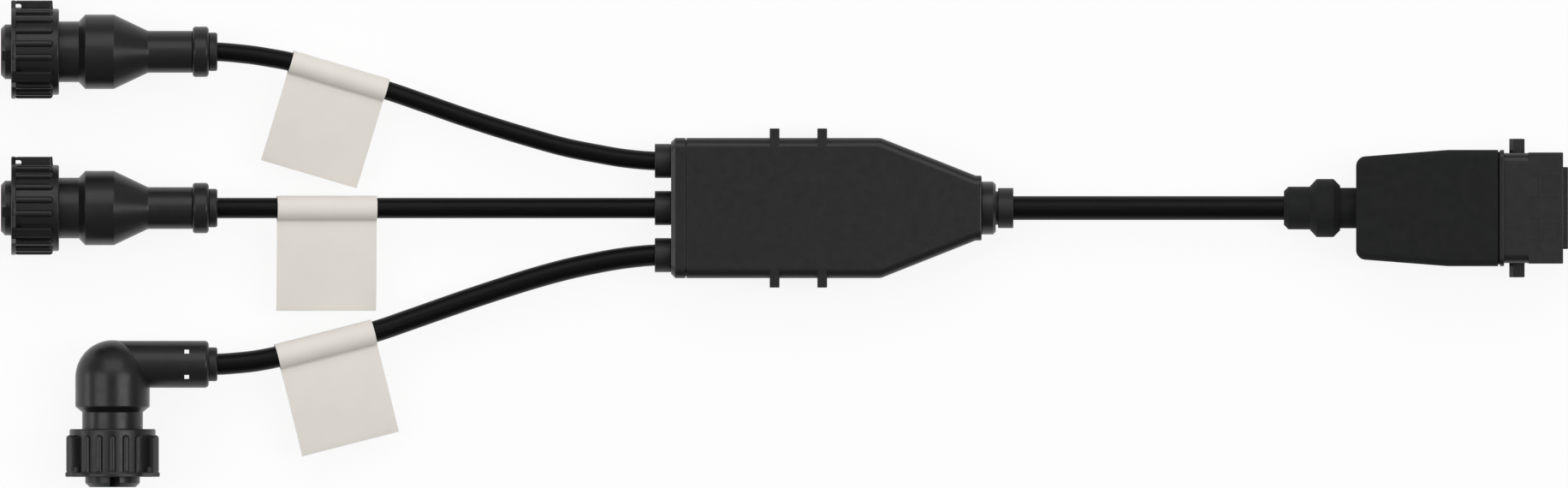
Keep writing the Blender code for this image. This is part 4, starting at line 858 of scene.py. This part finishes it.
def spun(degrees):
    """Turn about X that takes +Z by an angle towards +Y."""
    return Matrix.Rotation(-radians(degrees), 4, "X")


def turn_between(angle, centre):
    return (angle - centre + pi) % (2 * pi) - pi


def grip_profile(outline):
    """Half of a grip's outline as (distance across, height over the drum), from its middle outwards."""
    radii = [hypot(*point) for point in outline]
    return [(RING_BASE * point[0] / radius, radius - RING_BASE) for point, radius in zip(outline, radii)]


def rib_outline():
    foot = sqrt(RING_BASE ** 2 - RIB_HALF_WIDTH ** 2)
    rise = RING_BASE + RIB_HEIGHT - foot
    outline = []
    for a in quarter(RIB_STEPS)[:-1]:
        across = RIB_HALF_WIDTH * sin(a) ** RIB_ROUNDNESS
        outline.append((across, foot + rise * cos(a) ** RIB_ROUNDNESS))
    return outline + [(RIB_HALF_WIDTH, foot)]


def fin_outline():
    top = RING_BASE + FIN_HEIGHT
    foot = sqrt(RING_BASE ** 2 - FIN_HALF_WIDTH ** 2)
    return rounded([(0, top, 0), (FIN_HALF_WIDTH, top, EDGE), (FIN_HALF_WIDTH, foot, 0)], loop=False)


def ring_grips():
    """(angle, profile) of every rib and fin."""
    rib, fin = grip_profile(rib_outline()), grip_profile(fin_outline())
    grips = [(radians(angle), rib) for angle in RIB_ANGLES]
    return grips + [(radians(angle), fin) for angle in FIN_ANGLES]


def ring_angles(grips):
    """Angles round the ring, close together where ribs, fins and ears have their edges."""
    angles = []
    for centre, profile in grips:
        turns = [asin(across / RING_BASE) for across, _ in profile]
        angles += [centre + side * turn for side in (-1, 1) for turn in turns]
    face = atan(EAR_HALF_WIDTH / EAR_FACE)
    for fin in FIN_ANGLES:
        angles += [radians(fin) + side * turn for side in (-1, 1) for turn in (face, EAR_SPREAD)]
    kept = []
    for angle in sorted(angle % (2 * pi) for angle in angles):
        if not kept or angle - kept[-1] > LEAST_SPREAD:
            kept.append(angle)
    clear = []
    for angle in circle(TURN_SIDES):
        if min(abs(turn_between(angle, other)) for other in kept) > CLEAR_SPREAD:
            clear.append(angle)
    return sorted(kept + clear)


def grip_height(station, angle, grips):
    """Height of the rib or fin over the ring's drum; a rib ends at the rear in a half round."""
    past = max(0.0, station - RIB_ROUND) / (RIB_REAR - RIB_ROUND)
    height = 0.0
    for centre, profile in grips:
        turn = turn_between(angle, centre)
        if abs(turn) > GRIP_REACH:
            continue
        across = hypot(RING_BASE * sin(turn), past * profile[-1][0])
        for (near, high), (far, low) in zip(profile, profile[1:]):
            if near <= across < far:
                height = max(height, high + (low - high) * (across - near) / (far - near))
    return height


def flange_radius(angle):
    """Front flange: a disc with an ear at each fin."""
    corner = Vector((EAR_FACE, EAR_HALF_WIDTH))
    foot = Vector((RING_FLANGE * cos(EAR_SPREAD), RING_FLANGE * sin(EAR_SPREAD)))
    slope = foot - corner
    for fin in FIN_ANGLES:
        turn = abs(turn_between(angle, radians(fin)))
        if turn >= EAR_SPREAD:
            continue
        if tan(turn) * EAR_FACE <= EAR_HALF_WIDTH:
            return EAR_FACE / cos(turn)
        run = cos(turn) * slope.y - sin(turn) * slope.x
        return (corner.x * slope.y - corner.y * slope.x) / run
    return RING_FLANGE


def flange_rows(front, flange):
    rear = RING_FLANGE_REAR
    steps = [(front, EDGE), (front + EDGE, 0), (rear - EDGE, 0), (rear, FLANGE_REAR_EDGE)]
    return [[(station, radius - inset) for radius in flange] for station, inset in steps]


def drum_rows(angles, grips, flange):
    """Outside of the ring behind its flange, from a root just inside the flange's rim."""
    root = RING_FLANGE_REAR + FLANGE_ROOT_GAP
    stations = [root, *DRUM_STATIONS, RIB_ROUND]
    stations += [RIB_ROUND + (RIB_REAR - RIB_ROUND) * share for share in RIB_END_SHARES]
    stations += [RIB_REAR + RIB_TAIL]
    rows = []
    for station in stations:
        rows.append([(station, RING_BASE + grip_height(station, angle, grips)) for angle in angles])
    rows[0] = [(root, min(radius, rim - FLANGE_ROOT_STEP)) for (_, radius), rim in zip(rows[0], flange)]
    return rows


def lip_points(rear):
    """Profile of the rear lip, from the drum round to the end of the thread."""
    corner = LIP_CORNER
    points = []
    for a in quarter(FILLET_STEPS):
        points.append((rear - corner + corner * sin(a), RING_BASE - corner + corner * cos(a)))
    points += [(rear, LIP_BORE + EDGE), (rear - EDGE, LIP_BORE)]
    return points + [(RIB_REAR, LIP_BORE), (RIB_REAR, THREAD_BORE)]


def thread_rows(angles):
    rows = []
    for k in range(THREAD_ROWS + 1):
        station = THREAD_REAR + (THREAD_FRONT - THREAD_REAR) * k / THREAD_ROWS
        depth = THREAD_DEPTH * min(1.0, THREAD_RUN_OUT * min(k, THREAD_ROWS - k) / THREAD_ROWS)
        phases = [2 * pi * station / THREAD_PITCH - angle for angle in angles]
        rows.append([(station, THREAD_BORE + depth * (0.5 + 0.5 * cos(phase))) for phase in phases])
    return rows


def coupling_ring(node, place, turn, front, rear):
    grips = ring_grips()
    angles = ring_angles(grips)
    flange = [flange_radius(angle) for angle in angles]
    mouth = [(front + MOUTH_CHAMFER, THREAD_BORE), (front, THREAD_BORE + MOUTH_CHAMFER)]
    rows = flange_rows(front, flange) + drum_rows(angles, grips, flange)
    rows += [[point] * len(angles) for point in lip_points(rear)]
    rows += thread_rows(angles) + [[point] * len(angles) for point in mouth]
    hole = [[(x, y, z) for x, z in WIRE_HOLE] for y in (-CUT, CUT)]
    holes = [moved(skinned(hole), spun(fin)) for fin in FIN_ANGLES]
    ring = revolved(rows, angles, True)
    dressed(node, ring, "shell", cut=[joined(*holes)], place=place @ spun(turn))


# Other pieces of the circular connectors

def contact_spots():
    """Places of the four contacts across the insert, as (y, z)."""
    turns = [radians(45 + 90 * k) for k in range(4)]
    return [(CONTACT_CIRCLE * sin(a), CONTACT_CIRCLE * cos(a)) for a in turns]


def sunk_holes(face, back, radius, sink, spots):
    """Tool for contact holes at (y, z) spots, each with a countersink in the face."""
    outwards = CUT if face > back else -CUT
    corners = [
        (face + outwards, 0, 0), (face + outwards, radius + sink + CUT, 0),
        (face - copysign(sink, outwards), radius, 0), (back - outwards, radius, 0), (back - outwards, 0, 0),
    ]
    return joined(*(turned(corners, SMALL_SIDES, Matrix.Translation((0, y, z))) for y, z in spots))


def contact_insert(node, place, radius, key):
    bm = turned([
        (0, 0, 0), (0, radius - INSERT_CHAMFER, FINE), (INSERT_CHAMFER, radius, FINE),
        (INSERT_SHOULDER, radius, FINE), (INSERT_SHOULDER, INSERT_SPIGOT, 0),
        (INSERT_REAR, INSERT_SPIGOT, EDGE), (INSERT_REAR, 0, 0),
    ])
    turn, left_depth, right_depth = key
    half, top = KEY_WIDTH / 2, radius + CUT
    outline = [(-half, radius - left_depth), (half, radius - right_depth), (half, top), (-half, top)]
    slot = moved(lofted([(-CUT, outline), (KEY_LENGTH, outline)]), spun(turn))
    holes = sunk_holes(0, INSERT_REAR, CONTACT_HOLE, CONTACT_SINK, contact_spots())
    dressed(node, bm, "insert", cut=[slot, holes], place=place)


def contacts(connector, place, core_paths):
    """Socket contacts with the crimped cores behind them."""
    crimp_in, crimp_start, crimp_end, crimp_out = CRIMP_STATIONS
    waist = CONTACT_RADIUS - CRIMP_DEPTH
    corners = [
        (SOCKET_END, 0, 0), (SOCKET_END, CONTACT_SOCKET, 0), (CONTACT_RECESS, CONTACT_SOCKET, HAIR),
        (CONTACT_RECESS, CONTACT_RADIUS, FINE), (crimp_in, CONTACT_RADIUS, HAIR),
        (crimp_start, waist, HAIR), (crimp_end, waist, HAIR), (crimp_out, CONTACT_RADIUS, HAIR),
        (CONTACT_REAR, CONTACT_RADIUS, HAIR), (CONTACT_REAR, 0, 0),
    ]
    for k, ((y, z), path) in enumerate(zip(contact_spots(), core_paths), 1):
        socket = turned(corners, SMALL_SIDES, Matrix.Translation((0, y, z)))
        core = swept(smooth_path([Vector(knot) for knot in path], CORE_STEP), CORE_RADIUS)
        dressed(f"{connector}_contact_{k}", joined(socket, core), "contact", place=place)


def face_seal(node, place):
    bm = turned([
        (FACE_SEAL_FRONT, FACE_SEAL_INNER, FACE_SEAL_ROUND), (FACE_SEAL_FRONT, FACE_SEAL_OUTER, ROUND),
        (INSERT_SHOULDER, FACE_SEAL_OUTER, ROUND), (INSERT_SHOULDER, FACE_SEAL_INNER, FACE_SEAL_ROUND),
    ], matrix=place)
    dressed(node, bm, "rubber")


def cable_seal(node, place, start, flange_front, end, radius, flange, bore):
    bm = turned([
        (start, bore, FINE), (start, radius, BLUNT), (flange_front, radius, 0),
        (flange_front, flange, EDGE), (end, flange, ROUND), (end, bore, EDGE),
    ], matrix=place)
    dressed(node, bm, "rubber")


def neck_corners(rear):
    """Collar and neck that a coupling ring turns on."""
    return [
        (COLLAR_FRONT, COLLAR_OUTER, EDGE), (COLLAR_REAR, COLLAR_OUTER, EDGE),
        (COLLAR_REAR, NECK_RADIUS, FINE), (rear, NECK_RADIUS, FINE),
    ]


def straight_cores():
    inner = CORE_CIRCLE / CONTACT_CIRCLE
    paths = []
    for y, z in contact_spots():
        ends = [(station, y * inner, z * inner) for station in (CORE_BEND_END, CORE_END)]
        paths.append([(CORE_START, y, z), (CORE_BEND, y, z)] + ends)
    return paths


def straight_backshell(node, place):
    bm = turned([(COLLAR_FRONT, NECK_BORE, FINE)] + neck_corners(NECK_REAR) + [
        (BODY_FRONT, BODY_RADIUS, EDGE), (BODY_REAR, BODY_RADIUS, ROUND),
        (CONE_REAR, SLEEVE_RADIUS, CONE_FILLET), (SLEEVE_REAR, SLEEVE_RADIUS, EDGE),
        (SLEEVE_REAR, SPIGOT_RADIUS, 0), (SPIGOT_REAR, SPIGOT_RADIUS, EDGE),
        (SPIGOT_REAR, SLEEVE_BORE, FINE), (CONE_REAR, SLEEVE_BORE, CAVITY_FILLET),
        (BODY_REAR, BODY_CAVITY, SOFT), (BODY_FRONT, BODY_CAVITY, SOFT), (NECK_REAR, NECK_BORE, FINE),
    ], matrix=place)
    dressed(node, bm, "shell")


def clamp_nut(node, place, rear, radius):
    wall = rear - NUT_END_WALL
    bm = turned([
        (SLEEVE_REAR, NUT_BORE, FINE), (SLEEVE_REAR, radius, NUT_ROUND), (rear, radius, NUT_ROUND),
        (rear, SLEEVE_BORE, EDGE), (wall, SLEEVE_BORE, 0), (wall, NUT_BORE, 0),
    ], matrix=place)
    dressed(node, bm, "shell")


def straight_connector(connector):
    insert = connector + "_contact_insert"
    low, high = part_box(insert)
    place = Matrix.Translation((low.x, *middle(insert).yz))

    def span(part):
        near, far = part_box(f"{connector}_{part}")
        return near.x - low.x, far.x - low.x, (far.y - near.y) / 2

    front, rear, _ = span("coupling_ring")
    coupling_ring(connector + "_coupling_ring", place, STRAIGHT_RING_TURN, front, rear)
    contact_insert(insert, place, (high.y - low.y) / 2, STRAIGHT_KEY)
    contacts(connector, place, straight_cores())
    face_seal(connector + "_face_seal", place)
    straight_backshell(connector + "_backshell", place)
    start, end, flange = span("cable_seal")
    clamp_nut(connector + "_clamp_nut", place, end - SEAL_FLANGE, span("clamp_nut")[2])
    bore = CABLE_DIAMETER[connector] / 2 + FIT
    cable_seal(connector + "_cable_seal", place, start, end - SEAL_FLANGE, end,
               SLEEVE_BORE - FIT, flange, bore)


def elbow_cores(end):
    """Paths of the cores, which turn into the arm behind the contacts."""
    inner = CORE_CIRCLE / CONTACT_CIRCLE
    y_share, z_share = ELBOW_CORE_SHARES
    paths = []
    for y, z in contact_spots():
        bend = (ELBOW_CORE_BEND, y * y_share - ELBOW_CORE_SHIFT, z * z_share)
        arm = [(ARM_STATION + y * inner, -reach, z * inner) for reach in (ELBOW_CORE_TURNED, end)]
        paths.append([(CORE_START, y, z), (CORE_BEND, y, z), bend] + arm)
    return paths


def dome(radius):
    turns = quarter(DOME_STEPS)[1:-1]
    arc = [(DOME_STATION + radius * sin(a), radius * cos(a), 0) for a in turns]
    return [(DOME_STATION, radius, 0)] + arc + [(DOME_STATION + radius, 0, 0)]


def elbow_backshell(node, place, across, arm_end):
    """Domed body with an arm across it, hollow, with two windows right through the arm."""
    outside = [(COLLAR_FRONT, 0, 0)] + neck_corners(ELBOW_NECK_REAR)
    outside += [(ELBOW_BODY_FRONT, BODY_RADIUS, SOFT)] + dome(BODY_RADIUS)
    front = COLLAR_FRONT - CUT
    inside = [(front, 0, 0), (front, NECK_BORE, 0), (ELBOW_NECK_REAR, NECK_BORE, FINE)]
    inside += [(ELBOW_BODY_FRONT, BODY_CAVITY, SOFT)] + dome(BODY_CAVITY)
    arm = [(0, 0, 0), (0, ARM_RADIUS, 0), (arm_end, ARM_RADIUS, ARM_ROUND), (arm_end, 0, 0)]
    bore = rod(ARM_BORE_START, arm_end + CUT, ARM_BORE, across)
    half, depth = WINDOW_SIZE / 2, WINDOW_DEPTH
    windows = []
    for y in (-WINDOW_OFFSET, WINDOW_OFFSET):
        window = block((WINDOW_REACH - half, y - half, -depth), (WINDOW_REACH + half, y + half, depth))
        windows.append(moved(window, across))
    cut = [turned(inside), bore, joined(*windows)]
    dressed(node, turned(outside), "shell", added=[turned(arm, matrix=across)], cut=cut, place=place)


def elbow_connector():
    insert = "elbow_contact_insert"
    low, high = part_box(insert)
    centre = middle(insert)
    place = Matrix.Translation((centre.x, low.y, centre.z)) @ Matrix.Rotation(radians(90), 4, "Z")
    across = Matrix.Translation((ARM_STATION, 0, 0)) @ Matrix.Rotation(radians(-90), 4, "Z")
    near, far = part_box("elbow_coupling_ring")
    coupling_ring("elbow_coupling_ring", place, ELBOW_RING_TURN, near.y - low.y, far.y - low.y)
    contact_insert(insert, place, (high.x - low.x) / 2, ELBOW_KEY)
    contacts("elbow", place, elbow_cores(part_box("elbow_contact_1")[1].x - centre.x))
    face_seal("elbow_face_seal", place)
    arm_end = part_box("elbow_backshell")[1].x - centre.x
    elbow_backshell("elbow_backshell", place, across, arm_end)
    near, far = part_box("elbow_cable_seal")
    bore = CABLE_DIAMETER["lower"] / 2 + FIT
    cable_seal("elbow_cable_seal", place @ across, near.x - centre.x, arm_end, far.x - centre.x,
               ARM_BORE - FIT, ELBOW_SEAL_RADIUS, bore)


# Splitter

BOX_AXIS = Matrix.Translation((0, 0, BOX_AXIS_Z))


def box_shape(half_width, inset=0.0):
    return section(half_width - inset, inset, BOX_HEIGHT - inset, BOX_BASE_FILLET, BOX_TOP_FILLET)


def pocket_shape(half_width, wall):
    return section(half_width - wall, wall, BOX_HEIGHT - wall, EDGE, POCKET_TOP_FILLET)


def splitter_housing(node):
    low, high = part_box(node)
    plan = rounded([
        (low.x + FINE, BOX_HALF_WIDTH, 0), (TAPER_X, BOX_HALF_WIDTH, TAPER_ROUND),
        (TAPER_END_X, TAPER_HALF_WIDTH, BLUNT), (high.x - SOFT, TAPER_HALF_WIDTH, 0),
    ], loop=False)
    sections = edge_from(low.x, FINE, box_shape, BOX_HALF_WIDTH)
    sections += [(x, box_shape(half_width)) for x, half_width in plan[1:-1]]
    sections += edge_to(high.x, SOFT, box_shape, TAPER_HALF_WIDTH)
    half = TIE_RIB_WIDTH / 2
    ribs = []
    for x in TIE_RIB_X:
        for near, far in ((-TIE_RIB_OUTER, -TIE_RIB_INNER), (TIE_RIB_INNER, TIE_RIB_OUTER)):
            ribs.append(block((x - half, near, TIE_RIB_BASE), (x + half, far, TIE_RIB_TOP), TIE_RIB_EDGE))
    wide, narrow = pocket_shape(BOX_HALF_WIDTH, BOX_WALL), pocket_shape(TAPER_HALF_WIDTH, BOX_WALL)
    inside = lofted([(low.x - CUT, wide), (TAPER_X, wide), (POCKET_END_X, narrow)])
    outlet = rod(POCKET_END_X - CUT, high.x + CUT, OUTLET_SPIGOT + FIT, BOX_AXIS)
    dressed(node, lofted(sections), "shell", added=ribs, cut=[inside, outlet])


def splitter_end_plate(node):
    low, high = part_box(node)
    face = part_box("splitter_housing")[0].x
    rear = face - END_PLATE_GROOVE
    lip = pocket_shape(BOX_HALF_WIDTH, BOX_WALL + FIT)
    groove = box_shape(BOX_HALF_WIDTH, END_PLATE_GROOVE_DEPTH)
    sections = [(low.x, box_shape(BOX_HALF_WIDTH, END_PLATE_CHAMFER))]
    sections += [(low.x + END_PLATE_CHAMFER, box_shape(BOX_HALF_WIDTH))]
    sections += edge_to(rear, FINE, box_shape, BOX_HALF_WIDTH)
    sections += [(rear, groove), (face, groove), (face, lip), (high.x, lip)]
    holes = []
    for side in CONNECTOR_OF:
        place = Matrix.Translation((0, middle(f"splitter_{side}_grommet").y, BOX_AXIS_Z))
        holes.append(rod(low.x - CUT, high.x + CUT, GROMMET_RADIUS + FIT, place))
    dressed(node, lofted(sections), "shell", cut=[joined(*holes)])


def grommet(node, radius, flange, flange_front, flange_rear, bore):
    """Grommet whose flange stands outside the wall that the rest of it lines."""
    low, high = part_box(node)
    corners = [(flange_front, flange, EDGE), (flange_rear, flange, EDGE)]
    if flange_front > low.x:
        corners = [(low.x, bore, EDGE), (low.x, radius, EDGE), (flange_front, radius, 0)] + corners
        corners += [(flange_rear, bore, BLUNT)]
    else:
        corners = [(flange_front, bore, BLUNT)] + corners
        corners += [(flange_rear, radius, 0), (high.x, radius, EDGE), (high.x, bore, EDGE)]
    dressed(node, turned(corners, matrix=Matrix.Translation((0, middle(node).y, BOX_AXIS_Z))), "rubber")


def trunk_collar(node):
    low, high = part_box(node)
    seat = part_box("splitter_housing")[1].x
    chamfer = high.x - OUTLET_CHAMFER
    bm = turned([
        (low.x, OUTLET_BORE, EDGE), (low.x, OUTLET_SPIGOT, EDGE), (seat, OUTLET_SPIGOT, 0),
        (seat, OUTLET_RADIUS, FINE), (chamfer, OUTLET_RADIUS, HAIR),
        (high.x, OUTLET_RADIUS - OUTLET_CHAMFER, HAIR), (high.x, OUTLET_BORE, EDGE),
    ], matrix=BOX_AXIS)
    dressed(node, bm, "shell")


def splitter():
    splitter_housing("splitter_housing")
    splitter_end_plate("splitter_end_plate")
    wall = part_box("splitter_end_plate")[0].x
    for side in CONNECTOR_OF:
        node = f"splitter_{side}_grommet"
        bore = CABLE_DIAMETER[side] / 2 + FIT
        grommet(node, GROMMET_RADIUS, GROMMET_FLANGE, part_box(node)[0].x, wall, bore)
    trunk_collar("splitter_trunk_collar")
    node = "splitter_trunk_grommet"
    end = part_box(node)[1].x
    bore = CABLE_DIAMETER["trunk"] / 2 + FIT
    grommet(node, TRUNK_GROMMET_RADIUS, TRUNK_GROMMET_FLANGE, end - TRUNK_GROMMET_LENGTH, end, bore)


# Trunk plug

PLUG_AXIS = Matrix.Translation((0, 0, PLUG_AXIS_Z))


def plug_shape(half, fillet, inset=0.0):
    width, height = half[0] - inset, half[1] - inset
    return section(width, PLUG_AXIS_Z - height, PLUG_AXIS_Z + height, fillet, fillet)


def plug_hole(half, fillet, inset, start, end):
    """Tool for a straight hole with a plug section."""
    shape = plug_shape(half, fillet, inset)
    return lofted([(start, shape), (end, shape)])


def strain_relief(node):
    low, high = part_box(node)
    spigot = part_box("plug_hood")[0].x
    bm = turned([
        (low.x, RELIEF_BORE, EDGE), (low.x, RELIEF_RADIUS - RELIEF_CHAMFER, HAIR),
        (low.x + RELIEF_CHAMFER, RELIEF_RADIUS, HAIR), (RELIEF_RING_X, RELIEF_RADIUS, FINE),
        (RELIEF_RING_X + RELIEF_RING_SLOPE, RELIEF_RING_RADIUS, HAIR),
        (RELIEF_RING_END_X, RELIEF_RING_RADIUS, HAIR), (RELIEF_NECK_X, RELIEF_SHOULDER_RADIUS, HAIR),
        (RELIEF_NECK_X, RELIEF_NECK_RADIUS, 0), (spigot, RELIEF_NECK_RADIUS, HAIR),
        (spigot, RELIEF_SPIGOT, 0), (high.x, RELIEF_SPIGOT, EDGE), (high.x, RELIEF_BORE, FINE),
    ], matrix=PLUG_AXIS)
    dressed(node, bm, "hood")


def plug_hood(node):
    low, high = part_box(node)
    span = HOOD_SLOPE_END_X - low.x
    sections = []
    for a in quarter(HOOD_CORNER_STEPS):
        along = HOOD_CORNER * (1 - cos(a))
        slope = Vector(HOOD_REAR_HALF).lerp(PLUG_HALF, along / span)
        corner = Vector((HOOD_CORNER * (1 - sin(a)), HOOD_REAR_RIM * (1 - sin(a)) ** 2))
        sections.append((low.x + along, plug_shape(slope - corner, HOOD_FILLET)))
    sections += [(HOOD_SLOPE_END_X, plug_shape(PLUG_HALF, HOOD_FILLET))]
    sections += edge_to(high.x, FINE, plug_shape, PLUG_HALF, HOOD_FILLET)
    wall, end = low.x + HOOD_END_WALL, high.x + CUT
    front = plug_shape(PLUG_HALF, EDGE, HOOD_WALL)
    rear = plug_shape(HOOD_REAR_HALF, EDGE, HOOD_WALL)
    pocket = lofted([(wall, rear), (HOOD_SLOPE_END_X, front), (end, front)])
    seat_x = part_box("plug_hood_gasket")[0].x - FIT
    seat = plug_hole(PLUG_HALF, HOOD_FILLET, HOOD_WALL - GASKET_WIDTH - FIT, seat_x, end)
    inlet = rod(low.x - CUT, wall + CUT, RELIEF_SPIGOT + FIT, PLUG_AXIS)
    dressed(node, lofted(sections), "hood", cut=[pocket, seat, inlet])


def hood_gasket(node):
    """Ring in the hood's rim, with a bead between the rim and the frame's flange."""
    start, rim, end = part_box(node)[0].x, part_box("plug_hood")[1].x, FRAME_FLANGE_X
    ring = [half - HOOD_WALL + GASKET_WIDTH for half in PLUG_HALF]
    bead = [half - inset for half, inset in zip(PLUG_HALF, GASKET_BEAD_INSET)]
    sections = edge_from(start, FINE, plug_shape, ring, HOOD_FILLET)
    sections += [(rim, plug_shape(ring, HOOD_FILLET))]
    sections += edge_from(rim, FINE, plug_shape, bead, HOOD_FILLET)
    sections += edge_to(end, FINE, plug_shape, bead, HOOD_FILLET)
    hole = plug_hole(PLUG_HALF, EDGE, HOOD_WALL, start - CUT, end + CUT)
    dressed(node, lofted(sections), "rubber", cut=[hole])


def grooves(top):
    """Shallow parting grooves on the frame's block, the same on both sides of the plug's axis."""
    rear, second, third, last = [FRAME_BLOCK_X + stop for stop in GROOVE_STOPS]
    lines = [((rear, -GROOVE_LANES[-1]), (rear, GROOVE_LANES[-1]))]
    for sign in (1, -1):
        outer, between, inner = [sign * lane for lane in GROOVE_LANES]
        lines += [
            ((rear, outer), (last, outer)), ((rear, inner), (last, inner)),
            ((third, between), (last, between)), ((second, inner), (second, outer)),
            ((third, between), (third, outer)), ((last, between), (last, outer)),
        ]
    half = GROOVE_WIDTH / 2
    tools = []
    for start, end in lines:
        (x0, x1), (y0, y1) = [sorted(pair) for pair in zip(start, end)]
        tools.append(block((x0 - half, y0 - half, top - GROOVE_DEPTH), (x1 + half, y1 + half, top + CUT)))
    return tools


def peg_place(sign):
    return Matrix.Translation((PEG_X, 0, PLUG_AXIS_Z)) @ Matrix.Rotation(sign * pi / 2, 4, "Z")


def plug_frame(node):
    low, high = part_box(node)
    start, end = low.x - CUT, high.x + CUT
    side, top = FRAME_HALF
    lip = plug_shape(PLUG_HALF, EDGE, HOOD_WALL + FIT)
    body = plug_shape((side - FRAME_STEP, top), FRAME_FILLET)
    sections = [(low.x, lip), (FRAME_FLANGE_X, lip)]
    sections += edge_from(FRAME_FLANGE_X, FINE, plug_shape, PLUG_HALF, HOOD_FILLET)
    sections += edge_to(FRAME_X, FINE, plug_shape, PLUG_HALF, HOOD_FILLET)
    sections += [(FRAME_X, body), (FRAME_BLOCK_X - FRAME_BLOCK_EDGE, body)]
    sections += [(FRAME_BLOCK_X, plug_shape(FRAME_HALF, BLUNT))]
    sections += edge_to(high.x, FRAME_BLOCK_EDGE, plug_shape, FRAME_HALF, BLUNT)
    cut = [plug_hole(FRAME_OPENING, EDGE, 0, start, end)]
    cut += [plug_hole(FRAME_OPENING, EDGE, -INSERT_FLANGE_STEP, start, FRAME_FLANGE_X)]
    for sign in (1, -1):
        depth = side - PEG_SPIGOT_LENGTH - FIT
        cut.append(rod(depth, side + CUT, PEG_SPIGOT + FIT, peg_place(sign), SMALL_SIDES))
    dressed(node, lofted(sections), "shell", cut=cut + grooves(PLUG_AXIS_Z + top))


def peg_bar(inset):
    """Square with chamfered corners."""
    half = PEG_HALF_WIDTH - inset
    flat = half - PEG_CHAMFER
    corners = [(-flat, -half), (flat, -half), (half, -flat), (half, flat)]
    corners += [(-y, -z) for y, z in corners]
    return rounded([(y, z, FINE) for y, z in corners], steps=PEG_STEPS)


def locking_peg(node, sign):
    low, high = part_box(node)
    inner, outer = sorted((abs(low.y), abs(high.y)))
    peg = lofted([(FRAME_HALF[0] - FRAME_STEP, peg_bar(0))] + edge_to(outer, EDGE, peg_bar))
    spigot_end = outer - CUT
    spigot = turned([
        (inner, 0, 0), (inner, PEG_SPIGOT, FINE), (spigot_end, PEG_SPIGOT, 0), (spigot_end, 0, 0),
    ], SMALL_SIDES)
    dressed(node, peg, "shell", added=[spigot], place=peg_place(sign))


def plug_insert(node):
    low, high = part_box(node)
    front = low.x + INSERT_FLANGE_LENGTH
    flange = plug_shape(NOSE_HALF, BLUNT, -INSERT_FLANGE_STEP)
    sections = [(low.x, flange), (front, flange), (front, plug_shape(NOSE_HALF, NOSE_FILLET))]
    sections += edge_to(high.x, BLUNT, plug_shape, NOSE_HALF, NOSE_FILLET)
    spots = [(y, PLUG_AXIS_Z + z) for y, z in PLUG_CONTACT_SPOTS]
    holes = sunk_holes(high.x, low.x, PLUG_CONTACT_RADIUS + FIT, PLUG_CONTACT_SINK, spots)
    dressed(node, lofted(sections), "shell", cut=[holes])


def plug_contacts():
    """Socket contacts with their cores, which draw together towards the trunk cable."""
    low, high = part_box("plug_contact_1")
    radius, socket_radius = PLUG_CONTACT_RADIUS, PLUG_CONTACT_RADIUS * PLUG_SOCKET_SHARE
    floor_x = high.x - PLUG_SOCKET_DEPTH
    corners = [
        (PLUG_CONTACT_REAR, 0, 0), (PLUG_CONTACT_REAR, radius, FINE), (high.x, radius, EDGE),
        (high.x, socket_radius, HAIR), (floor_x, socket_radius, 0), (floor_x, 0, 0),
    ]
    for k, (y, z) in enumerate(PLUG_CONTACT_SPOTS, 1):
        socket = turned(corners, SMALL_SIDES, Matrix.Translation((0, y, PLUG_AXIS_Z + z)))
        start = Vector((PLUG_CONTACT_REAR + PLUG_CORE_OVERLAP, y, PLUG_AXIS_Z + z))
        turn = atan2(y, z)
        side, up = PLUG_CORE_CIRCLE * sin(turn), PLUG_CORE_CIRCLE * cos(turn)
        end = Vector((low.x, side, PLUG_AXIS_Z + up))
        bend = Vector(((end - start).x * PLUG_CORE_BEND, 0, 0))
        path = smooth_path([start, start + bend, end - bend, end], PLUG_CORE_STEP)
        dressed(f"plug_contact_{k}", joined(socket, swept(path, PLUG_CORE_RADIUS)), "contact")


def trunk_plug():
    strain_relief("plug_strain_relief")
    plug_hood("plug_hood")
    hood_gasket("plug_hood_gasket")
    plug_frame("plug_frame")
    plug_insert("plug_insert")
    locking_peg("plug_upper_peg", 1)
    locking_peg("plug_lower_peg", -1)
    plug_contacts()


def hidden_solids():
    """The solids inside the splitter and the elbow keep their CAD shape."""
    looks = {
        "splitter_splice_board": "board", "splitter_branch_terminal": "insert",
        "splitter_trunk_terminal": "insert", "elbow_clamp_sleeve": "insert",
    }
    for node, look in looks.items():
        mesh = frame["nodes"][node].data
        mesh.materials.clear()
        mesh.materials.append(LOOKS[look])


camera()
world()
floor()
for name, values in SOFTBOXES.items():
    softbox(name, *values)
bpy.context.scene.view_settings.view_transform = "Standard"
cables_and_labels()
straight_connector("upper")
straight_connector("middle")
elbow_connector()
splitter()
trunk_plug()
hidden_solids()
